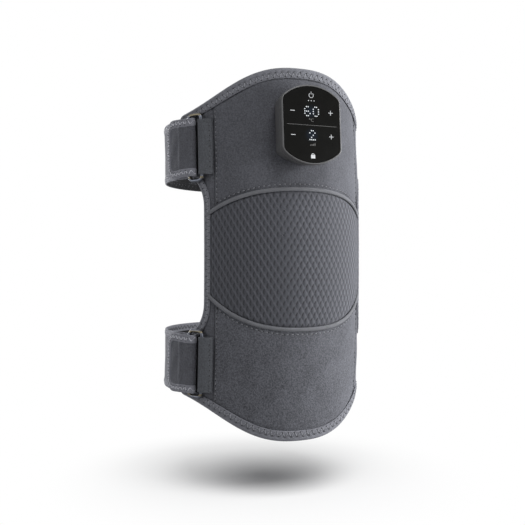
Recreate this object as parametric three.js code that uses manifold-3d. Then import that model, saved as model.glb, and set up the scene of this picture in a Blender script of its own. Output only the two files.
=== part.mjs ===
// Knee wrap that heats and vibrates, held round the leg by two straps.
// Millimetres. The leg opening runs along Z, the front faces -Y, and +X is the
// wearer's side on the right of a viewer in front. The origin is the middle of
// the leg opening at half height.
import * as THREE from "three";
import { mergeVertices } from "three/addons/utils/BufferGeometryUtils.js";
import Module from "manifold-3d";

const wasm = await Module();
wasm.setup();

const DEGREE = Math.PI / 180;
const QUARTER_TURN = Math.PI / 2;

// Fits
const SEAT_GAP = 0.3; // between pieces that rest on each other
const CUT_OVERRUN = 2; // how far a cutting solid runs past what it cuts
const MERGE_TOLERANCE = 1e-4;
const STATION_GAP = 0.2; // least width of a facet column

// Wrap: layers, from the outside in
const WRAP_RADIUS = 84; // outer face of the cloth panels
const FABRIC_THICKNESS = 1.2;
const FOAM_THICKNESS = 5.2;
const FILM_THICKNESS = 0.4;
const LINING_THICKNESS = 1;
const KNEE_CROWN = 2.4; // how far the knee panel's pad stands proud
const KNEE_CROWN_MARGIN = 6; // flat border round that pad

// Wrap: outline
const HALF_HEIGHT = 151.2;
const SHOULDER_HEIGHT = 115.5; // level that the upper edge falls to at the sides
const BOW_SETBACK = 8.4; // how far the top and bottom edges lean back
const CROWN_ANGLE = 50.4 * DEGREE; // where the crown has fallen to 1/e
const CROWN_EXPONENT = 2.7;
const CROWN_END_ANGLE = 74 * DEGREE; // where the wing's outer corner begins
const WING_CORNER_RADIUS = 9;
const WAIST_ANGLE = 58.3 * DEGREE; // outer edge beside the knee
const WAIST_STRAIGHT = 39.5; // half height of the straight waist edge
const WAIST_CORNER = 26; // height of the curve from there to the wing's underside
const SEAM_ANGLE = 51 * DEGREE; // vertical seams between front panels and wings

// Binding and pipings
const BINDING_WIDTH = 6.8;
const BINDING_THICKNESS = 0.5;
const PIPING_RADIUS = 1.5;
const ARC_EXPONENT = 2.5;
const ARC_REFERENCE_ANGLE = 54 * DEGREE; // where the arcs' drops are stated
const KNEE_TOP_CREST = 52.5;
const KNEE_TOP_DROP = 18.5;
const KNEE_BOTTOM_CREST = 60.3;
const KNEE_BOTTOM_DROP = 26;

// Rings and their tabs
const UPPER_RING_HEIGHT = 87.8;
const LOWER_RING_HEIGHT = -89.5;
const RING_WIRE_RADIUS = 1.3;
const RING_BAR_SPACING = 12.2; // between the axes of the two long bars
const RING_BAR_LENGTH = 53.4; // between the axes of the two short bars
const RING_CORNER_RADIUS = 3.5;
const RING_ANGLE = 57.7 * DEGREE; // where the tab holds the ring, on the left
const TAB_CLOTH = 0.8;
const TAB_WIDTH = 45;
const TAB_WRAP = 3.2; // quarter turns that the tab's cloth goes round the bar

// Straps
const STRAP_WIDTH = 50;
const STRAP_THICKNESS = 1.6;
const STRAP_WEB_THICKNESS = 1.2;
const STRAP_EDGE_WIDTH = 7;
const STRAP_BACK_RADIUS = 86.8; // inner face of the run behind the leg
const STRAP_SEWN_ANGLE = 62 * DEGREE; // end sewn on the right wings
const STRAP_LIFT_ANGLE = 72 * DEGREE; // where a run leaves the wing
const FOLD_REACH = 5.4; // from the ring's outer bar to the middle of the fold
const FOLD_TAIL = 3; // fold's lower leg past the bar
const FLAP_ROOT = 1.2; // fold's upper leg ends here, short of the bar's far side
const FLAP_END_ANGLE = 88.5 * DEGREE;
const FLAP_CORNER_RADIUS = 12;
const HOOK_PATCH_THICKNESS = 0.9;
const HOOK_PATCH_LENGTH = 11;

// Control pod
const POD_HEIGHT = 102; // its middle, above the wrap's middle
const POD_WIDTH = 50;
const POD_LENGTH = 62.4;
const POD_END_RADIUS = 35;
const POD_CORNER_RADIUS = 7;
const POD_DEPTH = 16;
const POD_WALL = 1.8;
const POD_FLOOR = 2.2;
const FRONT_CASE_DEPTH = 3.7;
const GLASS_THICKNESS = 1.2;
const GLASS_RIM = 1.1;
const GLASS_LEDGE = 2.4;
const BOARD_THICKNESS = 1.2;
const BOARD_LEVEL = 9.6;
const DISPLAY_DEPTH = 3.4;
const DISPLAY_RISE = 9.5; // from the pod's middle to each display's
const TEMPERATURE_DISPLAY_WIDTH = 22;
const SPEED_DISPLAY_WIDTH = 14;
const DISPLAY_HEIGHT = 12;
const BATTERY_WIDTH = 27;
const BATTERY_LENGTH = 42;
const BATTERY_DEPTH = 6;
const BUZZER_RADIUS = 4;
const BUZZER_DEPTH = 2.4;
const BUZZER_RISE = 22.5;
const SOCKET_WIDTH = 8.9;
const SOCKET_THICKNESS = 3.2;
const SOCKET_DEPTH = 7.3;
const SOCKET_WALL = 0.4;
const SOCKET_LEVEL = 6;

// What holds the pod to the wrap
const PLATE_THICKNESS = 1.5;
const PLATE_HALF_ANGLE = 16.5 * DEGREE;
const PLATE_HALF_LENGTH = 21;
const SCREW_ANGLE = 12.5 * DEGREE;
const SCREW_RISE = 15;
const SCREW_RADIUS = 1.1;
const SCREW_HEAD_RADIUS = 2;
const SCREW_HEAD_HEIGHT = 1.2;
const SCREW_LENGTH = 8;
const BOSS_RADIUS = 2.6;
const BOSS_TIP = 1;
const LEAD_WIDTH = 9.4;
const LEAD_THICKNESS = 2.4;
const LEAD_DROP = 26; // below the pod's middle

// Heating film
const FILM_HALF_ANGLE = 46 * DEGREE;
const FILM_TOP = 46;
const FILM_BOTTOM = -54;
const FILM_NECK_HALF_ANGLE = 6 * DEGREE;
const CUTOUT_RADIUS = 3;
const CUTOUT_DEPTH = 2;

// Vibration motors
const MOTOR_RADIUS = 8;
const MOTOR_DEPTH = 4;
const MOTOR_WALL = 0.5;
const MOTOR_PLATE_THICKNESS = 0.5;
const MOTOR_PIN_RADIUS = 0.7;
const MOTOR_PIN_CLEARANCE = 0.1;
const WEIGHT_HUB_RADIUS = 1.8;
const WEIGHT_THICKNESS = 1.8;
const WEIGHT_CLEARANCE = 0.5;
const SIDE_MOTOR_ANGLE = 36 * DEGREE;
const SIDE_MOTOR_HEIGHT = -4;
const LOWER_MOTOR_HEIGHT = -84;

// Facets
const PANEL_STEPS = 16;
const END_ROWS = 4;
const KNEE_ROWS = 6;
const END_ROW_SHARES = [0, 0.12, 0.22, 0.5, 0.75, 1]; // from the waist to the outer edge
const CROWN_STEPS = 11;
const CORNER_STEPS = 3;
const WAIST_STEPS = 4;
const RUN_STEPS = 34;
const FOLD_STEPS = 7;
const WIRE_SIDES = 8;
const ROUND_SIDES = 16;
const ARC_SEGMENTS = 5;

// Radii of the layers
const FABRIC_INNER = WRAP_RADIUS - FABRIC_THICKNESS;
const FOAM_OUTER = FABRIC_INNER - SEAT_GAP;
const FOAM_INNER = FOAM_OUTER - FOAM_THICKNESS;
const FILM_OUTER = FOAM_INNER - SEAT_GAP;
const FILM_INNER = FILM_OUTER - FILM_THICKNESS;
const LINING_OUTER = FILM_INNER - SEAT_GAP;
const LINING_INNER = LINING_OUTER - LINING_THICKNESS;
const BINDING_OUTER = WRAP_RADIUS + SEAT_GAP + BINDING_THICKNESS;
const BINDING_INNER = LINING_INNER - SEAT_GAP - BINDING_THICKNESS;
const EDGE_INSET = BINDING_THICKNESS + SEAT_GAP; // layers inside the binding
const HALF_SEAM = SEAT_GAP / 2;
const PIPING_SLOT = PIPING_RADIUS + SEAT_GAP; // from an arc to the cloth beside it

// Radii of the straps and rings
const STRAP_LOW_RADIUS = BINDING_OUTER + SEAT_GAP;
const FOLD_INNER_RADIUS = RING_WIRE_RADIUS + SEAT_GAP;
const OUTER_BAR_RADIUS = STRAP_LOW_RADIUS + STRAP_THICKNESS + FOLD_INNER_RADIUS;
const FLAP_RADIUS = OUTER_BAR_RADIUS + FOLD_INNER_RADIUS;
const TAB_BORE_RADIUS = RING_WIRE_RADIUS + SEAT_GAP;
const TAB_LOOP_RADIUS = TAB_BORE_RADIUS + TAB_CLOTH;
const INNER_BAR_RADIUS = WRAP_RADIUS + SEAT_GAP + TAB_LOOP_RADIUS;
const WEB_INSET = (STRAP_THICKNESS - STRAP_WEB_THICKNESS) / 2;
const WEB_HALF_WIDTH = STRAP_WIDTH / 2 - STRAP_EDGE_WIDTH - SEAT_GAP;

// Materials
const cloth = (color) => new THREE.MeshStandardMaterial({ color, roughness: 0.95, metalness: 0 });
const MATERIALS = {
  fabric: cloth(0x4a4b50),
  knit: cloth(0x52545a),
  binding: cloth(0x5a5b61),
  webbing: cloth(0x4c4d52),
  lining: cloth(0x27282b),
  foam: cloth(0x3a3a3c),
  hook: cloth(0x2b2c2e),
  film: new THREE.MeshStandardMaterial({ color: 0xb5752a, roughness: 0.4, metalness: 0 }),
  caseShell: new THREE.MeshStandardMaterial({ color: 0x3d3d3e, roughness: 0.6, metalness: 0 }),
  glass: new THREE.MeshStandardMaterial({ color: 0x121212, roughness: 0.15, metalness: 0 }),
  gunmetal: new THREE.MeshStandardMaterial({ color: 0x6a6c72, roughness: 0.3, metalness: 1 }),
  steel: new THREE.MeshStandardMaterial({ color: 0xb9bcc0, roughness: 0.35, metalness: 1 }),
  board: new THREE.MeshStandardMaterial({ color: 0x1d5a3a, roughness: 0.5, metalness: 0 }),
  black: new THREE.MeshStandardMaterial({ color: 0x18191a, roughness: 0.5, metalness: 0 }),
};

// Small helpers

/** Evenly spaced values from first to last. */
function spaced(first, last, steps) {
  return Array.from({ length: steps + 1 }, (_, step) => first + ((last - first) * step) / steps);
}

/** Blend from 0 to 1 with level ends. */
const smooth = (share) => {
  const held = THREE.MathUtils.clamp(share, 0, 1);
  return held * held * (3 - 2 * held);
};

/** How far the wrap's axis lies behind the Z axis at a height. */
const setback = (height) => BOW_SETBACK * (height / HALF_HEIGHT) ** 2;

/** Lean of the wrap at a height, as a rise of the setback per unit of height. */
const lean = (height) => (2 * BOW_SETBACK * height) / HALF_HEIGHT ** 2;

/** Point at an angle from the front centre line, a height and a radius. */
function wrapPoint(angle, height, radius) {
  const x = radius * Math.sin(angle);
  const y = setback(height) - radius * Math.cos(angle);
  return new THREE.Vector3(x, y, height);
}

/** Frame on the wrap: X along the girth, Y up the cloth, Z straight out. */
function surfaceFrame(angle, height, radius) {
  const girth = new THREE.Vector3(Math.cos(angle), Math.sin(angle), 0);
  const up = new THREE.Vector3(0, lean(height), 1);
  up.addScaledVector(girth, -up.dot(girth)).normalize();
  const out = new THREE.Vector3().crossVectors(girth, up);
  const frame = new THREE.Matrix4().makeBasis(girth, up, out);
  return frame.setPosition(wrapPoint(angle, height, radius));
}

/** Mesh data from points and triangles, turned so that its faces point out. */
function closedGeometry(points, triangles) {
  let volume = 0;
  for (const [a, b, c] of triangles) {
    volume += points[a].dot(new THREE.Vector3().crossVectors(points[b], points[c]));
  }
  const order = volume < 0 ? ([a, b, c]) => [a, c, b] : (corners) => corners;
  const geometry = new THREE.BufferGeometry().setFromPoints(points);
  geometry.setIndex(triangles.flatMap(order));
  return geometry;
}

/** The two triangles of a four-cornered face. */
const quad = (a, b, c, d) => [[a, b, c], [a, c, d]];

/** Solid between an inner and an outer surface over grids of [angle, height]. */
function bentSheet(grids, innerRadius, outerRadius) {
  const places = [];
  const known = new Map();
  const indexOf = ([angle, height]) => {
    const key = `${angle.toFixed(6)} ${height.toFixed(6)}`;
    if (!known.has(key)) {
      known.set(key, places.length);
      places.push([angle, height]);
    }
    return known.get(key);
  };
  const faces = [];
  for (const grid of grids) {
    const rows = grid.map((row) => row.map(indexOf));
    for (let row = 0; row < rows.length - 1; row += 1) {
      for (let column = 0; column < rows[row].length - 1; column += 1) {
        faces.push(...quad(rows[row][column], rows[row][column + 1],
          rows[row + 1][column + 1], rows[row + 1][column]));
      }
    }
  }
  const edges = faces.flatMap(([a, b, c]) => [[a, b], [b, c], [c, a]]);
  const used = new Set(edges.map(([from, to]) => `${from} ${to}`));
  const rim = edges.filter(([from, to]) => !used.has(`${to} ${from}`));
  const inner = (index) => index + places.length;
  const surface = (radius) => places.map(
    ([angle, height]) => wrapPoint(angle, height, radius(angle, height)));
  return closedGeometry([...surface(outerRadius), ...surface(innerRadius)], [
    ...faces,
    ...faces.map(([a, b, c]) => [inner(a), inner(c), inner(b)]),
    ...rim.flatMap(([from, to]) => quad(to, from, inner(from), inner(to))),
  ]);
}

/** Solid between two surfaces over one grid. */
const bentSlab = (grid, innerRadius, outerRadius) => bentSheet([grid], innerRadius, outerRadius);

/** Solid skinned over rings of points; a chain has flat caps, a loop has none. */
function skinRings(rings, isLoop) {
  const sides = rings[0].length;
  const spans = isLoop ? rings.length : rings.length - 1;
  const at = (ring, side) => (ring % rings.length) * sides + (side % sides);
  const triangles = [];
  for (let ring = 0; ring < spans; ring += 1) {
    for (let side = 0; side < sides; side += 1) {
      triangles.push(...quad(at(ring, side), at(ring, side + 1),
        at(ring + 1, side + 1), at(ring + 1, side)));
    }
  }
  for (let side = 1; !isLoop && side < sides - 1; side += 1) {
    triangles.push([at(0, 0), at(0, side + 1), at(0, side)]);
    triangles.push([at(rings.length - 1, 0), at(rings.length - 1, side),
      at(rings.length - 1, side + 1)]);
  }
  return closedGeometry(rings.flat(), triangles);
}

/** Solid for joins and cuts, from any closed geometry. */
function toSolid(geometry) {
  const bare = geometry.clone();
  bare.deleteAttribute("normal");
  bare.deleteAttribute("uv");
  const merged = mergeVertices(bare, MERGE_TOLERANCE);
  return new wasm.Manifold(new wasm.Mesh({
    numProp: 3,
    vertProperties: new Float32Array(merged.attributes.position.array),
    triVerts: new Uint32Array(merged.index.array),
  }));
}

/** Geometry of a joined or cut solid. */
function toGeometry(solid) {
  const mesh = solid.getMesh();
  const geometry = new THREE.BufferGeometry();
  geometry.setAttribute("position", new THREE.BufferAttribute(mesh.vertProperties, 3));
  geometry.setIndex(new THREE.BufferAttribute(mesh.triVerts, 1));
  return geometry;
}

/** Geometry less the cutters. */
function cut(geometry, ...cutters) {
  const whole = toSolid(geometry);
  return toGeometry(cutters.reduce((solid, cutter) => solid.subtract(toSolid(cutter)), whole));
}

/** Box between two corners. */
function boxBetween(low, high) {
  const size = high.map((value, axis) => value - low[axis]);
  const middle = high.map((value, axis) => (value + low[axis]) / 2);
  return new THREE.BoxGeometry(...size).translate(...middle);
}

/** Flat outline raised from one level to another along Z. */
function raised(shape, low, high) {
  const settings = { depth: high - low, bevelEnabled: false, curveSegments: ARC_SEGMENTS };
  return new THREE.ExtrudeGeometry(shape, settings).translate(0, 0, low);
}

/** Round bar along Z between two levels. */
function roundBar(radius, low, high) {
  const bar = new THREE.CylinderGeometry(radius, radius, high - low, ROUND_SIDES);
  return bar.rotateX(QUARTER_TURN).translate(0, 0, (low + high) / 2);
}

const part = new THREE.Group();

/** Adds a named piece, placed by a frame where one is given. */
function addPiece(name, geometry, material, frame) {
  const mesh = new THREE.Mesh(geometry, material);
  mesh.name = name;
  if (frame) {
    mesh.applyMatrix4(frame);
  }
  part.add(mesh);
}

// Outline of the wrap, laid flat: x along the girth at the cloth's face, y up

/** Height of the upper edge at an angle. */
function crownHeight(angle) {
  const fall = Math.exp(-((Math.abs(angle) / CROWN_ANGLE) ** CROWN_EXPONENT));
  return SHOULDER_HEIGHT + (HALF_HEIGHT - SHOULDER_HEIGHT) * fall;
}

/** Points of a circle's arc about a centre. */
function arcPoints(centre, radius, from, to, steps) {
  return spaced(from, to, steps).map((turn) => new THREE.Vector2(
    centre.x + radius * Math.cos(turn), centre.y + radius * Math.sin(turn)));
}

/** Upper right quarter of the outline, from the crown to the waist. */
function quarterOutline() {
  const crownEnd = CROWN_END_ANGLE * WRAP_RADIUS;
  const crown = spaced(0, crownEnd, CROWN_STEPS).map(
    (girth) => new THREE.Vector2(girth, crownHeight(girth / WRAP_RADIUS)));
  const last = crown[crown.length - 1];
  const before = crown[crown.length - 2];
  const slope = Math.atan2(last.y - before.y, last.x - before.x);
  const corner = new THREE.Vector2(last.x + WING_CORNER_RADIUS * Math.sin(slope),
    last.y - WING_CORNER_RADIUS * Math.cos(slope));
  const upperCorner = arcPoints(corner, WING_CORNER_RADIUS, QUARTER_TURN + slope, 0, CORNER_STEPS);
  const underside = WAIST_STRAIGHT + WAIST_CORNER;
  const lower = new THREE.Vector2(corner.x, underside + WING_CORNER_RADIUS);
  const lowerCorner = arcPoints(lower, WING_CORNER_RADIUS, 0, -QUARTER_TURN, CORNER_STEPS);
  const waist = WAIST_ANGLE * WRAP_RADIUS;
  const curve = spaced(0, QUARTER_TURN, WAIST_STEPS).slice(1).map((turn) => new THREE.Vector2(
    corner.x + (waist - corner.x) * Math.sin(turn),
    WAIST_STRAIGHT + WAIST_CORNER * Math.cos(turn)));
  const straight = [new THREE.Vector2(waist, WAIST_STRAIGHT / 2), new THREE.Vector2(waist, 0)];
  return [...crown, ...upperCorner.slice(1), ...lowerCorner, ...curve, ...straight];
}

/** A path moved to its right, mitred; its ends are square to the runs given. */
function offsetPath(path, amount, firstRun, lastRun) {
  return path.map((point, index) => {
    const before = index === 0 ? firstRun : point.clone().sub(path[index - 1]).normalize();
    const isLast = index === path.length - 1;
    const after = isLast ? lastRun : path[index + 1].clone().sub(point).normalize();
    const run = before.clone().add(after).normalize();
    const reach = amount / run.dot(after);
    return new THREE.Vector2(point.x + reach * run.y, point.y - reach * run.x);
  });
}

const RIGHT = new THREE.Vector2(1, 0);
const DOWN = new THREE.Vector2(0, -1);
const QUARTER = quarterOutline();

/** The quarter outline, moved inwards. */
const insetQuarter = (inset) => offsetPath(QUARTER, inset, RIGHT, DOWN);

/** Value of one coordinate where a path reaches a value of the other. */
function crossing(path, known, wanted, value) {
  const reached = path.findIndex((point, index) => index > 0
    && (point[known] - value) * (path[index - 1][known] - value) <= 0);
  const after = path[reached];
  const before = path[reached - 1];
  const span = after[known] - before[known];
  const share = span === 0 ? 0 : (value - before[known]) / span;
  return before[wanted] + (after[wanted] - before[wanted]) * share;
}

const LAYER_QUARTER = insetQuarter(EDGE_INSET);

/** Height of the inner layers' upper edge at an angle. */
const layerTop = (angle) => crossing(LAYER_QUARTER, "x", "y", Math.abs(angle) * WRAP_RADIUS);

/** Height of an upper wing's underside at an angle beyond the waist. */
const layerUnderside = (angle) => crossing(
  LAYER_QUARTER.toReversed(), "x", "y", Math.abs(angle) * WRAP_RADIUS);

const LAYER_WAIST = LAYER_QUARTER[LAYER_QUARTER.length - 1].x / WRAP_RADIUS;

/** Angles of the quarter outline's points, so that layers and binding share facets. */
const STATIONS = LAYER_QUARTER.map((point) => point.x / WRAP_RADIUS).sort(
  (first, second) => first - second);
const LAYER_END = STATIONS[STATIONS.length - 1] - MERGE_TOLERANCE / WRAP_RADIUS;

/** Stations from one angle to another, with both ends and none too close. */
function stationsBetween(from, to) {
  const least = STATION_GAP / WRAP_RADIUS;
  const kept = [from];
  for (const angle of STATIONS) {
    if (angle - kept[kept.length - 1] > least && to - angle > least) {
      kept.push(angle);
    }
  }
  return [...kept, to];
}

/** Stations on both sides of the centre line, out to an angle. */
function stationsAcross(limit) {
  const side = stationsBetween(0, limit);
  return [...side.slice(1).map((angle) => -angle).reverse(), ...side];
}

/** Arcs that bound the knee panel. */
const arcDrop = (angle) => (Math.abs(angle) / ARC_REFERENCE_ANGLE) ** ARC_EXPONENT;
const kneeTop = (angle) => KNEE_TOP_CREST - KNEE_TOP_DROP * arcDrop(angle);
const kneeBottom = (angle) => -(KNEE_BOTTOM_CREST - KNEE_BOTTOM_DROP * arcDrop(angle));

const KNEE_PAD_ANGLE = WAIST_ANGLE - (BINDING_WIDTH + KNEE_CROWN_MARGIN) / WRAP_RADIUS;

/** How far the knee pad swells the layers outwards at a place. */
function kneeSwell(angle, height) {
  const low = kneeBottom(angle) + KNEE_CROWN_MARGIN;
  const high = kneeTop(angle) - KNEE_CROWN_MARGIN;
  const share = (height - low) / (high - low);
  const across = 1 - (angle / KNEE_PAD_ANGLE) ** 2;
  const along = 4 * share * (1 - share);
  return along > 0 && across > 0 ? KNEE_CROWN * across * along : 0;
}

/** Swelling outer or inner face at a radius. */
const swollen = (radius) => (angle, height) => radius + kneeSwell(angle, height);
const plain = (radius) => () => radius;

// Layers that follow the whole outline

/** Grid of columns at given angles, its rows at shares from low to high. */
function columnGrid(angles, low, high, shares) {
  return shares.map((share) => angles.map(
    (angle) => [angle, low(angle) + (high(angle) - low(angle)) * share]));
}

/** Grids over the whole outline: above, beside and below the knee. */
function layerGrids() {
  const middle = stationsAcross(LAYER_WAIST);
  const wing = stationsBetween(LAYER_WAIST, LAYER_END).slice(1);
  const angles = [...wing.map((angle) => -angle).reverse(), ...middle, ...wing];
  const low = (angle) => (
    Math.abs(angle) > LAYER_WAIST ? layerUnderside(angle) : WAIST_STRAIGHT);
  return [
    columnGrid(angles, low, layerTop, END_ROW_SHARES),
    columnGrid(middle, () => -WAIST_STRAIGHT, () => WAIST_STRAIGHT, spaced(0, 1, KNEE_ROWS)),
    columnGrid(angles, (angle) => -low(angle), (angle) => -layerTop(angle), END_ROW_SHARES)
      .reverse(),
  ];
}

function addLining() {
  const lining = bentSheet(layerGrids(), plain(LINING_INNER), plain(LINING_OUTER));
  addPiece("inner_lining", lining, MATERIALS.lining);
}

function addHeatingFilm() {
  const neck = spaced(-FILM_NECK_HALF_ANGLE, FILM_NECK_HALF_ANGLE, 2);
  const side = spaced(FILM_NECK_HALF_ANGLE, FILM_HALF_ANGLE, PANEL_STEPS / 2).slice(1);
  const whole = [...side.map((angle) => -angle).reverse(), ...neck, ...side];
  const neckTop = POD_HEIGHT - LEAD_DROP + LEAD_THICKNESS;
  const neckBottom = LOWER_MOTOR_HEIGHT - MOTOR_RADIUS;
  const grids = [
    columnGrid(neck, () => FILM_TOP, () => neckTop, spaced(0, 1, 2)),
    columnGrid(whole, () => FILM_BOTTOM, () => FILM_TOP, spaced(0, 1, KNEE_ROWS)),
    columnGrid(neck, () => neckBottom, () => FILM_BOTTOM, spaced(0, 1, 2)),
  ];
  const film = bentSheet(grids, plain(FILM_INNER), plain(FILM_OUTER));
  addPiece("heating_film", film, MATERIALS.film);
}

/** Places of the vibration motors on the wrap. */
const MOTORS = [
  { name: "left", angle: -SIDE_MOTOR_ANGLE, height: SIDE_MOTOR_HEIGHT },
  { name: "right", angle: SIDE_MOTOR_ANGLE, height: SIDE_MOTOR_HEIGHT },
  { name: "lower", angle: 0, height: LOWER_MOTOR_HEIGHT },
];

/** Round cutter through the foam at a place. */
function foamHole(radius, angle, height) {
  const reach = FOAM_THICKNESS + KNEE_CROWN + CUT_OVERRUN;
  const hole = roundBar(radius + SEAT_GAP, -CUT_OVERRUN, reach);
  return hole.applyMatrix4(surfaceFrame(angle, height, FOAM_INNER));
}

/** Bent block about the pod's middle, for the clamp plate and its recess. */
function plateBlock(margin, inner, outer) {
  const half = PLATE_HALF_ANGLE + margin / WRAP_RADIUS;
  const reach = PLATE_HALF_LENGTH + margin;
  const grid = spaced(POD_HEIGHT - reach, POD_HEIGHT + reach, 2).map((height) => spaced(
    -half, half, PANEL_STEPS / 2).map((angle) => [angle, height]));
  return bentSlab(grid, plain(inner), plain(outer));
}

/** Slot that the pod's lead passes through, in the pod's frame. */
function leadSlot(low, high) {
  const halfWidth = LEAD_WIDTH / 2 + SEAT_GAP;
  const halfThickness = LEAD_THICKNESS / 2 + SEAT_GAP;
  return boxBetween([-halfWidth, -LEAD_DROP - halfThickness, low],
    [halfWidth, -LEAD_DROP + halfThickness, high]);
}

const POD_FRAME = surfaceFrame(0, POD_HEIGHT, WRAP_RADIUS);
const LEAD_FOOT = FILM_OUTER + SEAT_GAP - WRAP_RADIUS;

function addFoam() {
  const slab = bentSheet(layerGrids(), plain(FOAM_INNER), swollen(FOAM_OUTER));
  const pockets = MOTORS.map(({ angle, height }) => foamHole(MOTOR_RADIUS, angle, height));
  const recessDepth = PLATE_THICKNESS + SCREW_HEAD_HEIGHT + 2 * SEAT_GAP;
  const recess = plateBlock(SEAT_GAP, FOAM_OUTER - recessDepth, FOAM_OUTER + CUT_OVERRUN);
  const lead = leadSlot(LEAD_FOOT - CUT_OVERRUN, CUT_OVERRUN).applyMatrix4(POD_FRAME);
  const cutoutHole = foamHole(CUTOUT_RADIUS, 0, 0);
  addPiece("foam_core", cut(slab, ...pockets, recess, lead, cutoutHole), MATERIALS.foam);
}

function addThermalCutout() {
  const bead = roundBar(CUTOUT_RADIUS, 0, CUTOUT_DEPTH);
  addPiece("thermal_cutout", bead, MATERIALS.black, surfaceFrame(0, 0, FOAM_INNER));
}

// Cloth panels

/** Front panel between two edges, each a height for an angle. */
function frontPanel(halfAngle, low, high, rows, faces) {
  const grid = columnGrid(stationsAcross(halfAngle), low, high, spaced(0, 1, rows));
  return bentSlab(grid, faces(FABRIC_INNER), faces(WRAP_RADIUS));
}

/** Places of the four screws, as [angle, height]. */
const SCREWS = [-1, 1].flatMap((side) => [-1, 1].map(
  (end) => [side * SCREW_ANGLE, POD_HEIGHT + end * SCREW_RISE]));

/** Cutters for the screws' shanks, between two radii. */
function screwHoles(inner, outer) {
  return SCREWS.map(([angle, height]) => roundBar(SCREW_RADIUS + SEAT_GAP,
    inner - WRAP_RADIUS, outer - WRAP_RADIUS).applyMatrix4(surfaceFrame(angle, height, WRAP_RADIUS)));
}

function addFrontPanels() {
  const seam = SEAM_ANGLE - HALF_SEAM / WRAP_RADIUS;
  const upper = frontPanel(seam, (angle) => kneeTop(angle) + PIPING_SLOT, layerTop, END_ROWS, plain);
  const lead = leadSlot(-FABRIC_THICKNESS - CUT_OVERRUN, CUT_OVERRUN).applyMatrix4(POD_FRAME);
  const holes = screwHoles(FABRIC_INNER - CUT_OVERRUN, WRAP_RADIUS + CUT_OVERRUN);
  addPiece("upper_front_panel", cut(upper, lead, ...holes), MATERIALS.fabric);
  const lower = frontPanel(seam, (angle) => -layerTop(angle),
    (angle) => kneeBottom(angle) - PIPING_SLOT, END_ROWS, plain);
  addPiece("lower_front_panel", lower, MATERIALS.fabric);
  const knee = frontPanel(LAYER_WAIST, (angle) => kneeBottom(angle) + PIPING_SLOT,
    (angle) => kneeTop(angle) - PIPING_SLOT, 2 * KNEE_ROWS, swollen);
  addPiece("knee_panel", knee, MATERIALS.knit);
}

/** Wing beyond a seam: side is -1 on the left, end is -1 below. */
function wing(side, end) {
  const seam = SEAM_ANGLE + HALF_SEAM / WRAP_RADIUS;
  const angles = stationsBetween(seam, LAYER_END);
  const arc = (angle) => PIPING_SLOT + (end > 0 ? kneeTop(angle) : -kneeBottom(angle));
  const low = (angle) => (angle < LAYER_WAIST ? arc(angle)
    : Math.max(WAIST_STRAIGHT, layerUnderside(angle)));
  const grid = columnGrid(angles, low, layerTop, spaced(0, 1, END_ROWS)).map((row) => row.map(
    ([angle, height]) => [side * angle, end * height]));
  return bentSlab(grid, plain(FABRIC_INNER), plain(WRAP_RADIUS));
}

function addWings() {
  for (const [level, end] of [["upper", 1], ["lower", -1]]) {
    for (const [hand, side] of [["left", -1], ["right", 1]]) {
      addPiece(`${level}_${hand}_wing`, wing(side, end), MATERIALS.fabric);
    }
  }
}

/** Whole outline from a quarter, mirrored and joined into one loop. */
function wholeLoop(quarter) {
  const right = quarter;
  const lowerRight = quarter.slice(0, -1).reverse().map(({ x, y }) => ({ x, y: -y }));
  const rightHalf = [...right, ...lowerRight];
  const leftHalf = rightHalf.slice(1, -1).reverse().map(({ x, y }) => ({ x: -x, y }));
  return [...rightHalf, ...leftHalf];
}

/** Tape folded round the edge of every layer, in one loop. */
function addBinding() {
  const outside = wholeLoop(QUARTER);
  const fold = wholeLoop(insetQuarter(BINDING_THICKNESS));
  const inside = wholeLoop(insetQuarter(BINDING_WIDTH));
  const tapeFace = BINDING_OUTER - BINDING_THICKNESS;
  const tapeBack = BINDING_INNER + BINDING_THICKNESS;
  const rings = outside.map((_, index) => [
    [outside, BINDING_OUTER], [inside, BINDING_OUTER], [inside, tapeFace], [fold, tapeFace],
    [fold, tapeBack], [inside, tapeBack], [inside, BINDING_INNER], [outside, BINDING_INNER],
  ].map(([loop, radius]) => wrapPoint(loop[index].x / WRAP_RADIUS, loop[index].y, radius)));
  addPiece("edge_binding", skinRings(rings, true), MATERIALS.binding);
}

/** Piping rolled along one of the knee panel's arcs. */
function piping(arc) {
  const inner = insetQuarter(BINDING_WIDTH + SEAT_GAP + PIPING_RADIUS);
  const end = inner[inner.length - 1].x / WRAP_RADIUS;
  const radius = FOAM_OUTER + SEAT_GAP + PIPING_RADIUS;
  const route = new THREE.CatmullRomCurve3(spaced(-end, end, PANEL_STEPS).map(
    (angle) => wrapPoint(angle, arc(angle), radius)));
  const section = new THREE.Shape(new THREE.EllipseCurve(0, 0, PIPING_RADIUS, PIPING_RADIUS)
    .getPoints(WIRE_SIDES).slice(0, -1));
  return new THREE.ExtrudeGeometry(section,
    { steps: PANEL_STEPS, extrudePath: route, curveSegments: 1 });
}

function addPipings() {
  addPiece("upper_piping", piping(kneeTop), MATERIALS.binding);
  addPiece("lower_piping", piping(kneeBottom), MATERIALS.binding);
}

// Rings, tabs and straps. Each level has the same set, at its own height

/** Angle round the wrap between a ring's two bars. */
const BAR_STEP = Math.acos((INNER_BAR_RADIUS ** 2 + OUTER_BAR_RADIUS ** 2 - RING_BAR_SPACING ** 2)
  / (2 * INNER_BAR_RADIUS * OUTER_BAR_RADIUS));
const OUTER_BAR_ANGLE = -RING_ANGLE - BAR_STEP;

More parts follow.
